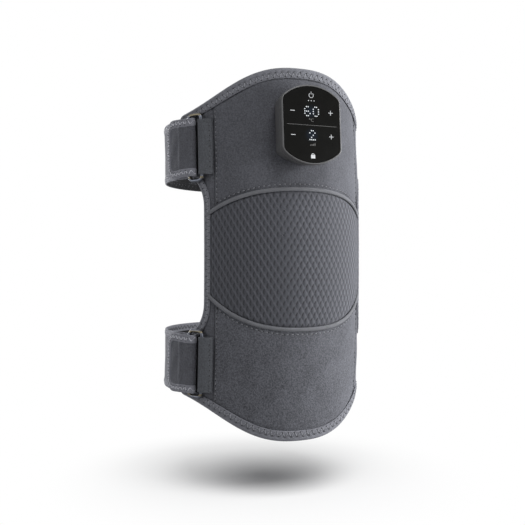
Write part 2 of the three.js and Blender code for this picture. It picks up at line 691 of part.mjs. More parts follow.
/** Frame of a ring: origin on its inner bar, X from outer to inner bar, Z out. */
function ringFrame(height) {
  const origin = wrapPoint(-RING_ANGLE, height, INNER_BAR_RADIUS);
  const up = new THREE.Vector3().setFromMatrixColumn(
    surfaceFrame(OUTER_BAR_ANGLE, height, OUTER_BAR_RADIUS), 1);
  const across = origin.clone().sub(wrapPoint(OUTER_BAR_ANGLE, height, OUTER_BAR_RADIUS));
  across.addScaledVector(up, -up.dot(across)).normalize();
  const out = new THREE.Vector3().crossVectors(across, up);
  return new THREE.Matrix4().makeBasis(across, up, out).setPosition(origin);
}

/** Rectangular wire ring in its own frame. */
function ringLoop() {
  const halfLength = RING_BAR_LENGTH / 2;
  const corners = [
    [-RING_CORNER_RADIUS, halfLength - RING_CORNER_RADIUS, 0],
    [RING_CORNER_RADIUS - RING_BAR_SPACING, halfLength - RING_CORNER_RADIUS, 1],
    [RING_CORNER_RADIUS - RING_BAR_SPACING, RING_CORNER_RADIUS - halfLength, 2],
    [-RING_CORNER_RADIUS, RING_CORNER_RADIUS - halfLength, 3],
  ];
  const rings = corners.flatMap(([x, y, quarter]) => spaced(0, 1, CORNER_STEPS).map((share) => {
    const turn = (quarter + share) * QUARTER_TURN;
    const outward = new THREE.Vector3(Math.cos(turn), Math.sin(turn), 0);
    const middle = new THREE.Vector3(x, y, 0).addScaledVector(outward, RING_CORNER_RADIUS);
    return spaced(0, 4 * QUARTER_TURN, WIRE_SIDES).slice(0, -1).map((side) => new THREE.Vector3(
      middle.x + RING_WIRE_RADIUS * Math.cos(side) * outward.x,
      middle.y + RING_WIRE_RADIUS * Math.cos(side) * outward.y,
      RING_WIRE_RADIUS * Math.sin(side)));
  }));
  return skinRings(rings, true);
}

/** Cloth loop round a ring's inner bar, with its tail sewn into the seam. */
function ringTab() {
  const reach = (RING_ANGLE - SEAM_ANGLE) * WRAP_RADIUS - SEAT_GAP;
  const sink = reach ** 2 / (2 * WRAP_RADIUS);
  const tailBottom = -TAB_LOOP_RADIUS - sink + SEAT_GAP / 2;
  const tailTop = tailBottom + 2 * TAB_CLOTH;
  const shape = new THREE.Shape();
  shape.moveTo(reach, tailBottom);
  shape.lineTo(0, -TAB_LOOP_RADIUS);
  shape.absarc(0, 0, TAB_LOOP_RADIUS, -QUARTER_TURN, -TAB_WRAP * QUARTER_TURN, true);
  shape.lineTo(reach, tailTop);
  shape.closePath();
  const bore = new THREE.Path();
  bore.absarc(0, 0, TAB_BORE_RADIUS, 0, 4 * QUARTER_TURN, false);
  shape.holes.push(bore);
  const tab = raised(shape, -TAB_WIDTH / 2, TAB_WIDTH / 2);
  return tab.rotateX(QUARTER_TURN);
}

/** Frame of a tab: on the ring's inner bar, square to the wrap. */
const tabFrame = (height) => surfaceFrame(-RING_ANGLE, height, INNER_BAR_RADIUS);

/** Inner face of a strap's run at an angle: low over the wings, then level. */
function runRadius(angle) {
  const turn = Math.min(angle, 4 * QUARTER_TURN - angle);
  const share = (turn - STRAP_LIFT_ANGLE) / (LAYER_END - STRAP_LIFT_ANGLE);
  return STRAP_LOW_RADIUS + (STRAP_BACK_RADIUS - STRAP_LOW_RADIUS) * smooth(share);
}

/** Angle of the outer bar's far side by a length along the girth. */
const pastBar = (length) => OUTER_BAR_ANGLE + length / OUTER_BAR_RADIUS;

/** Run of a strap behind the leg, between two heights. */
function strapRun(low, high, inset) {
  const last = 4 * QUARTER_TURN + pastBar(-FOLD_TAIL - SEAT_GAP);
  const angles = spaced(STRAP_SEWN_ANGLE, last, RUN_STEPS);
  const grid = [low, high].map((height) => angles.map((angle) => [angle, height]));
  return bentSlab(grid, (angle) => runRadius(angle) + inset,
    (angle) => runRadius(angle) + STRAP_THICKNESS - inset);
}

/** The strap's turn through the ring, from under the bar to the flap's root. */
function strapFold(low, high) {
  const middle = FOLD_INNER_RADIUS + STRAP_THICKNESS / 2;
  const bend = spaced(-QUARTER_TURN, QUARTER_TURN, FOLD_STEPS).map((turn) => (
    { along: FOLD_REACH, turn }));
  const path = [{ along: -FOLD_TAIL, turn: -QUARTER_TURN }, ...bend,
    { along: FLAP_ROOT, turn: QUARTER_TURN }];
  const place = ({ along, turn }, depth, height) => wrapPoint(
    pastBar(along + (middle + depth) * Math.cos(turn)), height,
    OUTER_BAR_RADIUS + (middle + depth) * Math.sin(turn));
  const half = STRAP_THICKNESS / 2;
  return skinRings(path.map((station) => [
    place(station, -half, low), place(station, half, low),
    place(station, half, high), place(station, -half, high),
  ]), false);
}

/** Flap's outline laid flat, right of the path inwards, from root to root. */
function flapPath(centre) {
  const root = pastBar(FLAP_ROOT - SEAT_GAP) * FLAP_RADIUS;
  const end = -FLAP_END_ANGLE * FLAP_RADIUS;
  const half = STRAP_WIDTH / 2;
  const inner = end + FLAP_CORNER_RADIUS;
  const bottom = new THREE.Vector2(inner, centre - half + FLAP_CORNER_RADIUS);
  const top = new THREE.Vector2(inner, centre + half - FLAP_CORNER_RADIUS);
  return [
    ...spaced(root, inner, 3).slice(0, -1).map((x) => new THREE.Vector2(x, centre - half)),
    ...arcPoints(bottom, FLAP_CORNER_RADIUS, -QUARTER_TURN, -2 * QUARTER_TURN, CORNER_STEPS),
    ...arcPoints(top, FLAP_CORNER_RADIUS, 2 * QUARTER_TURN, QUARTER_TURN, CORNER_STEPS),
    ...spaced(inner, root, 3).slice(1).map((x) => new THREE.Vector2(x, centre + half)),
  ];
}

/** Bound edge of a flap, along both sides and round the end. */
function flapEdge(centre) {
  const outside = flapPath(centre);
  const left = new THREE.Vector2(-1, 0);
  const inside = offsetPath(outside, STRAP_EDGE_WIDTH, left, RIGHT);
  const rings = outside.map((_, index) => [
    [outside, FLAP_RADIUS], [outside, FLAP_RADIUS + STRAP_THICKNESS],
    [inside, FLAP_RADIUS + STRAP_THICKNESS], [inside, FLAP_RADIUS],
  ].map(([path, radius]) => wrapPoint(path[index].x / FLAP_RADIUS, path[index].y, radius)));
  return skinRings(rings, false);
}

/** Web of a flap inside its bound edge. */
function flapWeb(centre) {
  const root = pastBar(FLAP_ROOT - SEAT_GAP);
  const end = -FLAP_END_ANGLE + (STRAP_EDGE_WIDTH + SEAT_GAP) / FLAP_RADIUS;
  const corner = FLAP_CORNER_RADIUS - STRAP_EDGE_WIDTH;
  const straight = end + corner / FLAP_RADIUS;
  const angles = [...spaced(root, straight, 4), straight - corner / 2 / FLAP_RADIUS, end];
  const grid = [-1, 1].map((side) => angles.map((angle) => {
    const past = Math.max(0, straight - angle) * FLAP_RADIUS;
    return [angle, centre + side * (WEB_HALF_WIDTH - past)];
  }));
  return bentSlab(grid, plain(FLAP_RADIUS + WEB_INSET),
    plain(FLAP_RADIUS + STRAP_THICKNESS - WEB_INSET));
}

/** Hook patch on the inner side of a flap's end. */
function hookPatch(centre) {
  const end = -FLAP_END_ANGLE + STRAP_EDGE_WIDTH / 2 / FLAP_RADIUS;
  const start = end + HOOK_PATCH_LENGTH / FLAP_RADIUS;
  const grid = [-1, 1].map((side) => spaced(start, end, 2).map(
    (angle) => [angle, centre + side * WEB_HALF_WIDTH]));
  const outer = FLAP_RADIUS - SEAT_GAP;
  return bentSlab(grid, plain(outer - HOOK_PATCH_THICKNESS), plain(outer));
}

function addStrapSet(level, height) {
  const low = height - STRAP_WIDTH / 2;
  const high = height + STRAP_WIDTH / 2;
  addPiece(`${level}_ring`, ringLoop(), MATERIALS.gunmetal, ringFrame(height));
  addPiece(`${level}_ring_tab`, ringTab(), MATERIALS.fabric, tabFrame(height));
  const run = strapRun(height - WEB_HALF_WIDTH, height + WEB_HALF_WIDTH, WEB_INSET);
  addPiece(`${level}_strap`, run, MATERIALS.webbing);
  addPiece(`${level}_strap_bottom_edge`, strapRun(low, low + STRAP_EDGE_WIDTH, 0),
    MATERIALS.binding);
  addPiece(`${level}_strap_top_edge`, strapRun(high - STRAP_EDGE_WIDTH, high, 0),
    MATERIALS.binding);
  addPiece(`${level}_strap_fold`, strapFold(low, high), MATERIALS.webbing);
  addPiece(`${level}_flap`, flapWeb(height), MATERIALS.webbing);
  addPiece(`${level}_flap_edge`, flapEdge(height), MATERIALS.binding);
  addPiece(`${level}_hook_patch`, hookPatch(height), MATERIALS.hook);
}

// Control pod, in its own frame: X across, Y up the cloth, Z straight out

/** Pod's outline, moved inwards. */
function podOutline(inset) {
  const endCentre = POD_LENGTH / 2 - POD_END_RADIUS;
  const cornerX = POD_WIDTH / 2 - POD_CORNER_RADIUS;
  const swing = POD_END_RADIUS - POD_CORNER_RADIUS;
  const cornerY = endCentre + Math.sqrt(swing ** 2 - cornerX ** 2);
  const turn = Math.atan2(cornerY - endCentre, cornerX);
  const corner = POD_CORNER_RADIUS - inset;
  const end = POD_END_RADIUS - inset;
  const half = 2 * QUARTER_TURN;
  const shape = new THREE.Shape();
  shape.absarc(cornerX, cornerY, corner, 0, turn, false);
  shape.absarc(0, endCentre, end, turn, half - turn, false);
  shape.absarc(-cornerX, cornerY, corner, half - turn, half, false);
  shape.absarc(-cornerX, -cornerY, corner, half, half + turn, false);
  shape.absarc(0, -endCentre, end, half + turn, 2 * half - turn, false);
  shape.absarc(cornerX, -cornerY, corner, 2 * half - turn, 2 * half, false);
  shape.closePath();
  return shape;
}

/** Solid that follows the cloth, in the pod's frame, to shape the pod's back. */
function clothCutter() {
  const halfAngle = Math.asin((POD_WIDTH / 2 + CUT_OVERRUN) / WRAP_RADIUS);
  const reach = POD_LENGTH / 2 + CUT_OVERRUN;
  const grid = spaced(POD_HEIGHT - reach, POD_HEIGHT + reach, 3).map((height) => spaced(
    -halfAngle, halfAngle, PANEL_STEPS).map((angle) => [angle, height]));
  const cutter = bentSlab(grid, plain(WRAP_RADIUS - POD_DEPTH), plain(WRAP_RADIUS + SEAT_GAP));
  return cutter.applyMatrix4(POD_FRAME.clone().invert());
}

/** Geometry of a screw's place, brought into the pod's frame. */
function atScrew(geometry, [angle, height]) {
  const place = POD_FRAME.clone().invert().multiply(surfaceFrame(angle, height, WRAP_RADIUS));
  return geometry.applyMatrix4(place);
}

const REAR_CASE_TOP = POD_DEPTH - FRONT_CASE_DEPTH - SEAT_GAP;
const SCREW_TOP = SCREW_LENGTH - PLATE_THICKNESS - FABRIC_THICKNESS - SEAT_GAP;

function addRearCase() {
  const shell = toSolid(raised(podOutline(0), -POD_DEPTH / 2, REAR_CASE_TOP));
  const hollow = raised(podOutline(POD_WALL), POD_FLOOR, REAR_CASE_TOP + CUT_OVERRUN);
  const bosses = SCREWS.map((place) => atScrew(
    roundBar(BOSS_RADIUS, 0, SCREW_TOP + BOSS_TIP), place));
  const holes = SCREWS.map((place) => atScrew(
    roundBar(SCREW_RADIUS + SEAT_GAP, -CUT_OVERRUN, SCREW_TOP + SEAT_GAP), place));
  const halfMouth = SOCKET_WIDTH / 2 + SEAT_GAP;
  const halfSlot = SOCKET_THICKNESS / 2 + SEAT_GAP;
  const mouth = boxBetween([POD_WIDTH / 2 - SOCKET_DEPTH, -halfMouth, SOCKET_LEVEL - halfSlot],
    [POD_WIDTH / 2 + CUT_OVERRUN, halfMouth, SOCKET_LEVEL + halfSlot]);
  let tub = shell.subtract(toSolid(hollow));
  for (const boss of bosses) {
    tub = tub.add(toSolid(boss).intersect(shell));
  }
  for (const cutter of [clothCutter(), ...holes, mouth, leadSlot(-POD_DEPTH, POD_DEPTH)]) {
    tub = tub.subtract(toSolid(cutter));
  }
  addPiece("pod_rear_case", toGeometry(tub), MATERIALS.caseShell, POD_FRAME);
}

function addFrontCase() {
  const seat = POD_DEPTH - GLASS_THICKNESS - SEAT_GAP;
  const ring = raised(podOutline(0), REAR_CASE_TOP + SEAT_GAP, POD_DEPTH);
  const recess = raised(podOutline(GLASS_RIM), seat, POD_DEPTH + CUT_OVERRUN);
  const window = raised(podOutline(GLASS_RIM + GLASS_LEDGE), 0, POD_DEPTH);
  addPiece("pod_front_case", cut(ring, recess, window), MATERIALS.caseShell, POD_FRAME);
  const glass = raised(podOutline(GLASS_RIM + SEAT_GAP), seat + SEAT_GAP, POD_DEPTH);
  addPiece("touch_glass", glass, MATERIALS.glass, POD_FRAME);
}

/** Box about a middle, standing on a level, in the pod's frame. */
function podBox(x, y, level, width, height, depth) {
  return boxBetween([x - width / 2, y - height / 2, level],
    [x + width / 2, y + height / 2, level + depth]);
}

function addPodInsides() {
  const boardTop = BOARD_LEVEL + BOARD_THICKNESS;
  const board = raised(podOutline(POD_WALL + SEAT_GAP), BOARD_LEVEL, boardTop);
  addPiece("main_board", board, MATERIALS.board, POD_FRAME);
  const onBoard = boardTop + SEAT_GAP;
  addPiece("temperature_display", podBox(0, DISPLAY_RISE, onBoard, TEMPERATURE_DISPLAY_WIDTH,
    DISPLAY_HEIGHT, DISPLAY_DEPTH), MATERIALS.black, POD_FRAME);
  addPiece("speed_display", podBox(0, -DISPLAY_RISE, onBoard, SPEED_DISPLAY_WIDTH,
    DISPLAY_HEIGHT, DISPLAY_DEPTH), MATERIALS.black, POD_FRAME);
  const buzzer = roundBar(BUZZER_RADIUS, onBoard, onBoard + BUZZER_DEPTH);
  addPiece("buzzer", buzzer.translate(0, BUZZER_RISE, 0), MATERIALS.black, POD_FRAME);
  addPiece("battery", podBox(0, 0, POD_FLOOR + SEAT_GAP, BATTERY_WIDTH, BATTERY_LENGTH,
    BATTERY_DEPTH), MATERIALS.steel, POD_FRAME);
  const lead = podBox(0, -LEAD_DROP, LEAD_FOOT, LEAD_WIDTH, LEAD_THICKNESS,
    BOARD_LEVEL - SEAT_GAP - LEAD_FOOT);
  addPiece("pod_lead", lead, MATERIALS.black, POD_FRAME);
}

function addSocket() {
  const mouth = POD_WIDTH / 2;
  const halfWidth = SOCKET_WIDTH / 2;
  const half = SOCKET_THICKNESS / 2;
  const shell = boxBetween([mouth - SOCKET_DEPTH + SEAT_GAP, -halfWidth, SOCKET_LEVEL - half],
    [mouth, halfWidth, SOCKET_LEVEL + half]);
  const hollow = boxBetween([mouth - SOCKET_DEPTH + SEAT_GAP + SOCKET_WALL,
    SOCKET_WALL - halfWidth, SOCKET_LEVEL - half + SOCKET_WALL],
  [mouth + CUT_OVERRUN, halfWidth - SOCKET_WALL, SOCKET_LEVEL + half - SOCKET_WALL]);
  addPiece("usb_c_socket", cut(shell, hollow), MATERIALS.steel, POD_FRAME);
}

function addPodFixings() {
  const inner = FOAM_OUTER - PLATE_THICKNESS;
  const plate = plateBlock(0, inner, FOAM_OUTER);
  const holes = screwHoles(inner - CUT_OVERRUN, FOAM_OUTER + CUT_OVERRUN);
  addPiece("clamp_plate", cut(plate, ...holes), MATERIALS.steel);
  const seat = inner - SEAT_GAP - WRAP_RADIUS;
  const profile = [[0, seat - SCREW_HEAD_HEIGHT], [SCREW_HEAD_RADIUS, seat - SCREW_HEAD_HEIGHT],
    [SCREW_HEAD_RADIUS, seat], [SCREW_RADIUS, seat], [SCREW_RADIUS, SCREW_TOP - SCREW_RADIUS],
    [0, SCREW_TOP]].map(([x, y]) => new THREE.Vector2(x, y));
  SCREWS.forEach(([angle, height], index) => {
    const screw = new THREE.LatheGeometry(profile, WIRE_SIDES).rotateX(QUARTER_TURN);
    addPiece(`clamp_screw_${index + 1}`, screw, MATERIALS.steel,
      surfaceFrame(angle, height, WRAP_RADIUS));
  });
}

// Vibration motors, in their own frame: Z straight out, level 0 on the film

/** Turned can, open towards the leg. */
function motorCan() {
  const low = MOTOR_PLATE_THICKNESS + SEAT_GAP;
  const roof = MOTOR_DEPTH - MOTOR_WALL;
  const profile = [[MOTOR_RADIUS - MOTOR_WALL, low], [MOTOR_RADIUS, low],
    [MOTOR_RADIUS, MOTOR_DEPTH], [0, MOTOR_DEPTH], [0, roof], [MOTOR_RADIUS - MOTOR_WALL, roof],
    [MOTOR_RADIUS - MOTOR_WALL, low]].map(([x, y]) => new THREE.Vector2(x, y));
  return new THREE.LatheGeometry(profile, ROUND_SIDES).rotateX(QUARTER_TURN);
}

/** Base plate with the pin that the weight spins on. */
function motorPlate() {
  const pinTop = MOTOR_DEPTH - MOTOR_WALL - SEAT_GAP;
  const profile = [[0, 0], [MOTOR_RADIUS, 0], [MOTOR_RADIUS, MOTOR_PLATE_THICKNESS],
    [MOTOR_PIN_RADIUS, MOTOR_PLATE_THICKNESS], [MOTOR_PIN_RADIUS, pinTop],
    [0, pinTop]].map(([x, y]) => new THREE.Vector2(x, y));
  return new THREE.LatheGeometry(profile, ROUND_SIDES).rotateX(QUARTER_TURN);
}

/** Half disc with a hub, which shakes the motor as it spins. */
function eccentricWeight() {
  const rim = MOTOR_RADIUS - MOTOR_WALL - WEIGHT_CLEARANCE;
  const shape = new THREE.Shape();
  shape.absarc(0, 0, rim, 0, 2 * QUARTER_TURN, false);
  shape.lineTo(-WEIGHT_HUB_RADIUS, 0);
  shape.absarc(0, 0, WEIGHT_HUB_RADIUS, 2 * QUARTER_TURN, 4 * QUARTER_TURN, false);
  shape.closePath();
  const bore = new THREE.Path();
  bore.absarc(0, 0, MOTOR_PIN_RADIUS + MOTOR_PIN_CLEARANCE, 0, 4 * QUARTER_TURN, true);
  shape.holes.push(bore);
  const level = MOTOR_PLATE_THICKNESS + SEAT_GAP;
  return raised(shape, level, level + WEIGHT_THICKNESS);
}

function addMotor({ name, angle, height }) {
  const frame = surfaceFrame(angle, height, FOAM_INNER);
  addPiece(`motor_can_${name}`, motorCan(), MATERIALS.steel, frame);
  addPiece(`motor_plate_${name}`, motorPlate(), MATERIALS.steel, frame);
  addPiece(`motor_weight_${name}`, eccentricWeight(), MATERIALS.gunmetal, frame);
}

addLining();
addHeatingFilm();
addFoam();
addThermalCutout();
addFrontPanels();
addWings();
addBinding();
addPipings();
addStrapSet("upper", UPPER_RING_HEIGHT);
addStrapSet("lower", LOWER_RING_HEIGHT);
addRearCase();
addFrontCase();
addPodInsides();
addSocket();
addPodFixings();
MOTORS.forEach(addMotor);

export default part;
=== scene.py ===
"""Heated knee wrap with a control pod: the dressed model in its studio.

Lengths are metres. A sewn piece is first laid out flat, as girth (along the
cloth round the leg, zero on the front centre line), height, and lift above the
face of the cloth. WrapForm.place bends that flat layout round the leg.
"""

import logging
import math
from collections.abc import Callable, Sequence
from dataclasses import dataclass, field
from enum import Enum

import bpy
import numpy as np
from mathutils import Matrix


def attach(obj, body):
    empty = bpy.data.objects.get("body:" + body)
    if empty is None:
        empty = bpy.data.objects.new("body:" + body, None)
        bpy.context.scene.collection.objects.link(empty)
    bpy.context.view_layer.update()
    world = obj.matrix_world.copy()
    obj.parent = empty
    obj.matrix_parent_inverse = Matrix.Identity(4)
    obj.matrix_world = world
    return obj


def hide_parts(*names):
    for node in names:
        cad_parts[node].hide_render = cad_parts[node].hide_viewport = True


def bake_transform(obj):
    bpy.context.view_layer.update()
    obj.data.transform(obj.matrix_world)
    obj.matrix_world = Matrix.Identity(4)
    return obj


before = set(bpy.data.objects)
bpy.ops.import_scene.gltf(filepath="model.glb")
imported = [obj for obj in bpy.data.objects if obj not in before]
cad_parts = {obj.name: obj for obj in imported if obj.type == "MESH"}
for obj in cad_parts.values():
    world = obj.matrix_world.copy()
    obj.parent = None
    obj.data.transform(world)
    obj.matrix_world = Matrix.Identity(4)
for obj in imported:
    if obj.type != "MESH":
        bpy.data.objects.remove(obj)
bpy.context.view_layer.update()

Array = np.ndarray
Colour = tuple[float, float, float]

LOG = logging.getLogger("knee_wrap")
MM = 0.001
UPPER_LEVEL = 87.8 * MM
LOWER_LEVEL = -89.5 * MM
THREAD_STATIONS = np.array([0.04, 0.16, 0.35, 0.5, 0.65, 0.84, 0.96])
THREAD_TAPER = np.array([0.5, 0.9, 1, 1, 1, 0.9, 0.5])
THREAD_SIDES = 6
FLAT_MAP = "flat"


class Side(Enum):
    """Halves of the wrap: the word in their names, and the sign of their height or girth."""

    UPPER = ("upper", 1)
    LOWER = ("lower", -1)
    LEFT = ("left", -1)
    RIGHT = ("right", 1)

    def __init__(self, word: str, sign: int) -> None:
        """Keeps the word and the sign."""
        self.word = word
        self.sign = sign


ENDS = (Side.UPPER, Side.LOWER)
HANDS = (Side.LEFT, Side.RIGHT)


# Shapes: the wrap, and meshes worked out on grids


@dataclass(frozen=True)
class WrapForm:
    """Sizes of the wrap and the bend that lays flat cloth round the leg."""

    radius: float = 84 * MM
    cloth: float = 1.2 * MM
    gap: float = 0.3 * MM
    lining_depth: float = 7.7 * MM
    lining: float = 1 * MM
    half_height: float = 151.2 * MM
    shoulder: float = 115.5 * MM
    bow: float = 8.4 * MM
    crown_girth: float = math.radians(50.4) * 84 * MM
    crown_power: float = 2.7
    wing_girth: float = math.radians(74) * 84 * MM
    wing_corner: float = 9 * MM
    waist_girth: float = math.radians(58.3) * 84 * MM
    waist_straight: float = 39.5 * MM
    waist_curve: float = 26 * MM
    seam_girth: float = math.radians(51) * 84 * MM
    arc_girth: float = math.radians(54) * 84 * MM
    arc_power: float = 2.5
    upper_crest: float = 52.5 * MM
    upper_drop: float = 18.5 * MM
    lower_crest: float = 60.3 * MM
    lower_drop: float = 26 * MM
    swell: float = 2.4 * MM
    swell_margin: float = 6 * MM
    tape: float = 6.8 * MM
    tape_spread: float = 1.9 * MM
    tape_from: float = 90 * MM
    tape_over: float = 55 * MM

    def setback(self, height: Array) -> Array:
        """How far the wrap's axis lies behind the leg's axis at a height."""
        return self.bow * (height / self.half_height) ** 2

    def place(self, girth: Array, height: Array, lift: Array) -> Array:
        """Bends flat cloth round the leg: a turn of girth / radius about the axis.

        Args:
            girth: Length along the cloth from the front centre line.
            height: Height above the middle of the wrap.
            lift: Distance out from the face of the cloth panels.

        Returns:
            Points with a last axis of x, y, z.
        """
        girth, height, lift = np.broadcast_arrays(girth, height, lift)
        angle = girth / self.radius
        reach = self.radius + lift
        return np.stack([reach * np.sin(angle),
                         self.setback(height) - reach * np.cos(angle), height], axis=-1)

    def up(self, height: float) -> Array:
        """Direction up the leaning front centre line at a height."""
        lean = 2 * self.bow * height / self.half_height ** 2
        return np.array([0, lean, 1]) / math.hypot(lean, 1)

    def arc_drop(self, girth: Array) -> Array:
        """Share of an arc's drop that is reached at a girth: a power of it."""
        return (np.abs(girth) / self.arc_girth) ** self.arc_power

    def upper_arc(self, girth: Array) -> Array:
        """Height of the knee pad's upper arc: its crest less the drop."""
        return self.upper_crest - self.upper_drop * self.arc_drop(girth)

    def lower_arc(self, girth: Array) -> Array:
        """Height of the knee pad's lower arc: its crest is its lowest point."""
        return self.lower_drop * self.arc_drop(girth) - self.lower_crest

    def arc(self, girth: Array, end: Side) -> Array:
        """Height of the arc at one end of the wrap, counted towards that end."""
        return self.upper_arc(girth) if end is Side.UPPER else -self.lower_arc(girth)

    def knee_swell(self, girth: Array, height: Array) -> Array:
        """Crown of the knee pad: a parabola across times a parabola up.

        Args:
            girth: Girth of each point.
            height: Height of each point.

        Returns:
            Lift of the cloth there.
        """
        low = self.lower_arc(girth) + self.swell_margin
        high = self.upper_arc(girth) - self.swell_margin
        share = (height - low) / (high - low)
        limit = self.waist_girth - self.swell_margin
        across = np.clip(1 - (girth / limit) ** 2, 0, None)
        return self.swell * across * np.clip(4 * share * (1 - share), 0, None)

    def quarter(self) -> Array:
        """Upper right quarter of the outline: a bell for the crown, then three round corners.

        Returns:
            Points (n, 2) of girth and height, from the crown round the wing to the waist.
        """
        girth = np.linspace(0, self.wing_girth, 90)
        fall = np.exp(-((girth / self.crown_girth) ** self.crown_power))
        crown = np.stack([girth, self.shoulder + (self.half_height - self.shoulder) * fall], axis=1)
        slope = math.atan2(*(crown[-1] - crown[-2])[::-1])
        centre = crown[-1] + self.wing_corner * np.array([math.sin(slope), -math.cos(slope)])
        upper = centre + self.wing_corner * circle(np.linspace(math.pi / 2 + slope, 0, 14)[1:])
        level = self.waist_straight + self.waist_curve + self.wing_corner
        lower = np.array([centre[0], level]) + self.wing_corner * circle(
            np.linspace(0, -math.pi / 2, 14))
        curve = np.array([centre[0], self.waist_straight]) + circle(np.linspace(
            0, math.pi / 2, 24)[1:])[:, ::-1] * [self.waist_girth - centre[0], self.waist_curve]
        waist = np.array([[self.waist_girth, 0.0]])
        return np.concatenate([crown, upper, lower, curve, waist])

    def outline(self, pitch: float, inset: float = 0.0) -> Array:
        """Closed outline at an even pitch, moved inwards.

        Args:
            pitch: Wanted spacing of the points along the edge.
            inset: Distance inwards from the edge.

        Returns:
            Points (n, 2) of girth and height, clockwise from the crown.
        """
        quarter = self.quarter()
        right = np.concatenate([quarter, quarter[-2::-1] * [1, -1]])
        loop = np.concatenate([right, right[-2:0:-1] * [-1, 1]])
        loop = evenly(closed(loop), pitch)[:-1]
        along = unit(np.roll(loop, -1, axis=0) - np.roll(loop, 1, axis=0))
        return loop + inset * right_of(along)

    def from_edge(self, girth: Array, height: Array) -> Array:
        """Distance of each point of a grid from the nearest point of the outline."""
        x, y = self.outline(0.6 * MM).T
        return np.stack([np.hypot(row[:, :1] - x, row[:, 1:] - y).min(axis=1)
                         for row in paired(girth, height)])

    def tape_width(self, height: Array) -> Array:
        """Width of the binding on the face: broader over the crowns."""
        share = (np.abs(height) - self.tape_from) / self.tape_over
        return self.tape + self.tape_spread * smooth(share)

    def edges(self, inset: float) -> "EdgeLines":
        """Edge lines of the right half, moved inwards, to fit panels to.

        Args:
            inset: Distance inwards from the edge.

        Returns:
            The lines.
        """
        quarter = self.outline(1 * MM, inset)
        quarter = quarter[(quarter[:, 0] >= -1e-9) & (quarter[:, 1] >= -1e-9)]
        corner = int(np.argmax(quarter[:, 0]))
        under = quarter[corner:][::-1]
        return EdgeLines(top=quarter[:corner + 1], under=under, waist=float(quarter[-1, 0]))


@dataclass(frozen=True)
class EdgeLines:
    """Upper edge, wing's underside and waist of one quarter of the outline."""

    top: Array
    under: Array
    waist: float

    def high(self, girth: Array) -> Array:
        """Height of the upper edge."""
        return np.interp(np.abs(girth), self.top[:, 0], self.top[:, 1])

    def low(self, girth: Array) -> Array:
        """Height of the wing's underside."""
        order = np.maximum.accumulate(self.under[:, 0])
        return np.interp(np.abs(girth), order, self.under[:, 1])

    @property
    def reach(self) -> float:
        """Greatest girth of the outline."""
        return float(self.top[-1, 0])


def evenly(path: Array, pitch: float) -> Array:
    """Points at an even spacing along a path, by length.

    Args:
        path: Points (n, k) in order.
        pitch: Wanted spacing.

    Returns:
        Points (m, k), both ends kept.
    """
    length = run_length(path)
    count = max(2, int(round(length[-1] / pitch)) + 1)
    wanted = np.linspace(0, length[-1], count)
    return np.stack([np.interp(wanted, length, column) for column in path.T], axis=1)


def run_length(path: Array) -> Array:
    """Length along a path at each of its points."""
    steps = np.linalg.norm(np.diff(path, axis=0), axis=1)
    return np.concatenate([[0], np.cumsum(steps)])


def sample(at: Array, length: Array, values: Array) -> Array:
    """Reads the rows of values at lengths along the line that they were taken on."""
    return np.stack([np.interp(at, length, column) for column in values.T], axis=1)


def spread(first: float, last: float, pitch: float) -> Array:
    """Values from first to last, about a pitch apart."""
    return np.linspace(first, last, max(2, int(round(abs(last - first) / pitch)) + 1))


def bump(distance: Array, width: float) -> Array:
    """Bell curve that is 1 at no distance."""
    return np.exp(-((distance / width) ** 2))


def unit(vectors: Array) -> Array:
    """Vectors scaled to length 1."""
    return vectors / np.linalg.norm(vectors, axis=-1, keepdims=True)


def smooth(share: Array) -> Array:
    """Soft step from 0 to 1 as a share goes from 0 to 1, level at both ends."""
    share = np.clip(share, 0, 1)
    return share * share * (3 - 2 * share)


def circle(turn: Array) -> Array:
    """Points of the unit circle at angles."""
    return np.stack([np.cos(turn), np.sin(turn)], axis=-1)


def whole_turn(count: int) -> Array:
    """Angles of a whole turn in equal steps, without its end."""
    return np.linspace(0, 2 * math.pi, count + 1)[:-1]


def closed(loop: Array) -> Array:
    """Loop of points with its first point again at its end."""
    return np.concatenate([loop, loop[:1]])


def right_of(along: Array) -> Array:
    """Flat directions turned a quarter turn to the right."""
    return np.stack([along[:, 1], -along[:, 0]], axis=1)


def paired(first: Array, second: Array) -> Array:
    """Flat points of two coordinates that broadcast to one grid."""
    return np.stack(np.broadcast_arrays(first, second), axis=-1)


def stand(name: str, data: bpy.types.ID) -> bpy.types.Object:
    """Puts a new object with the given data into the scene."""
    obj = bpy.data.objects.new(name, data)
    bpy.context.scene.collection.objects.link(obj)
    return obj


def by_turns(first: Array, second: Array) -> Array:
    """Rows taken from two arrays by turns, beginning with the first."""
    is_first = (np.arange(len(first)) % 2 == 0)[:, None]
    return np.where(is_first, first, second)


def between(columns: Array, low: Array, high: Array, rows: int) -> tuple[Array, Array]:
    """Grid of girth and height, both (rows, columns), between two edges given by column."""
    share = np.linspace(0, 1, rows)[:, None]
    return np.broadcast_to(columns, (rows, len(columns))), low + (high - low) * share


def row_count(low: Array, high: Array, pitch: float) -> int:
    """Number of rows that puts them about a pitch apart in the middle column."""
    middle = len(low) // 2
    return round(float(high[middle] - low[middle]) / pitch) + 1


def corners(grid: Array) -> list[Array]:
    """Values at the four corners of each cell of a grid, in order."""
    return [grid[:-1, :-1], grid[:-1, 1:], grid[1:, 1:], grid[1:, :-1]]


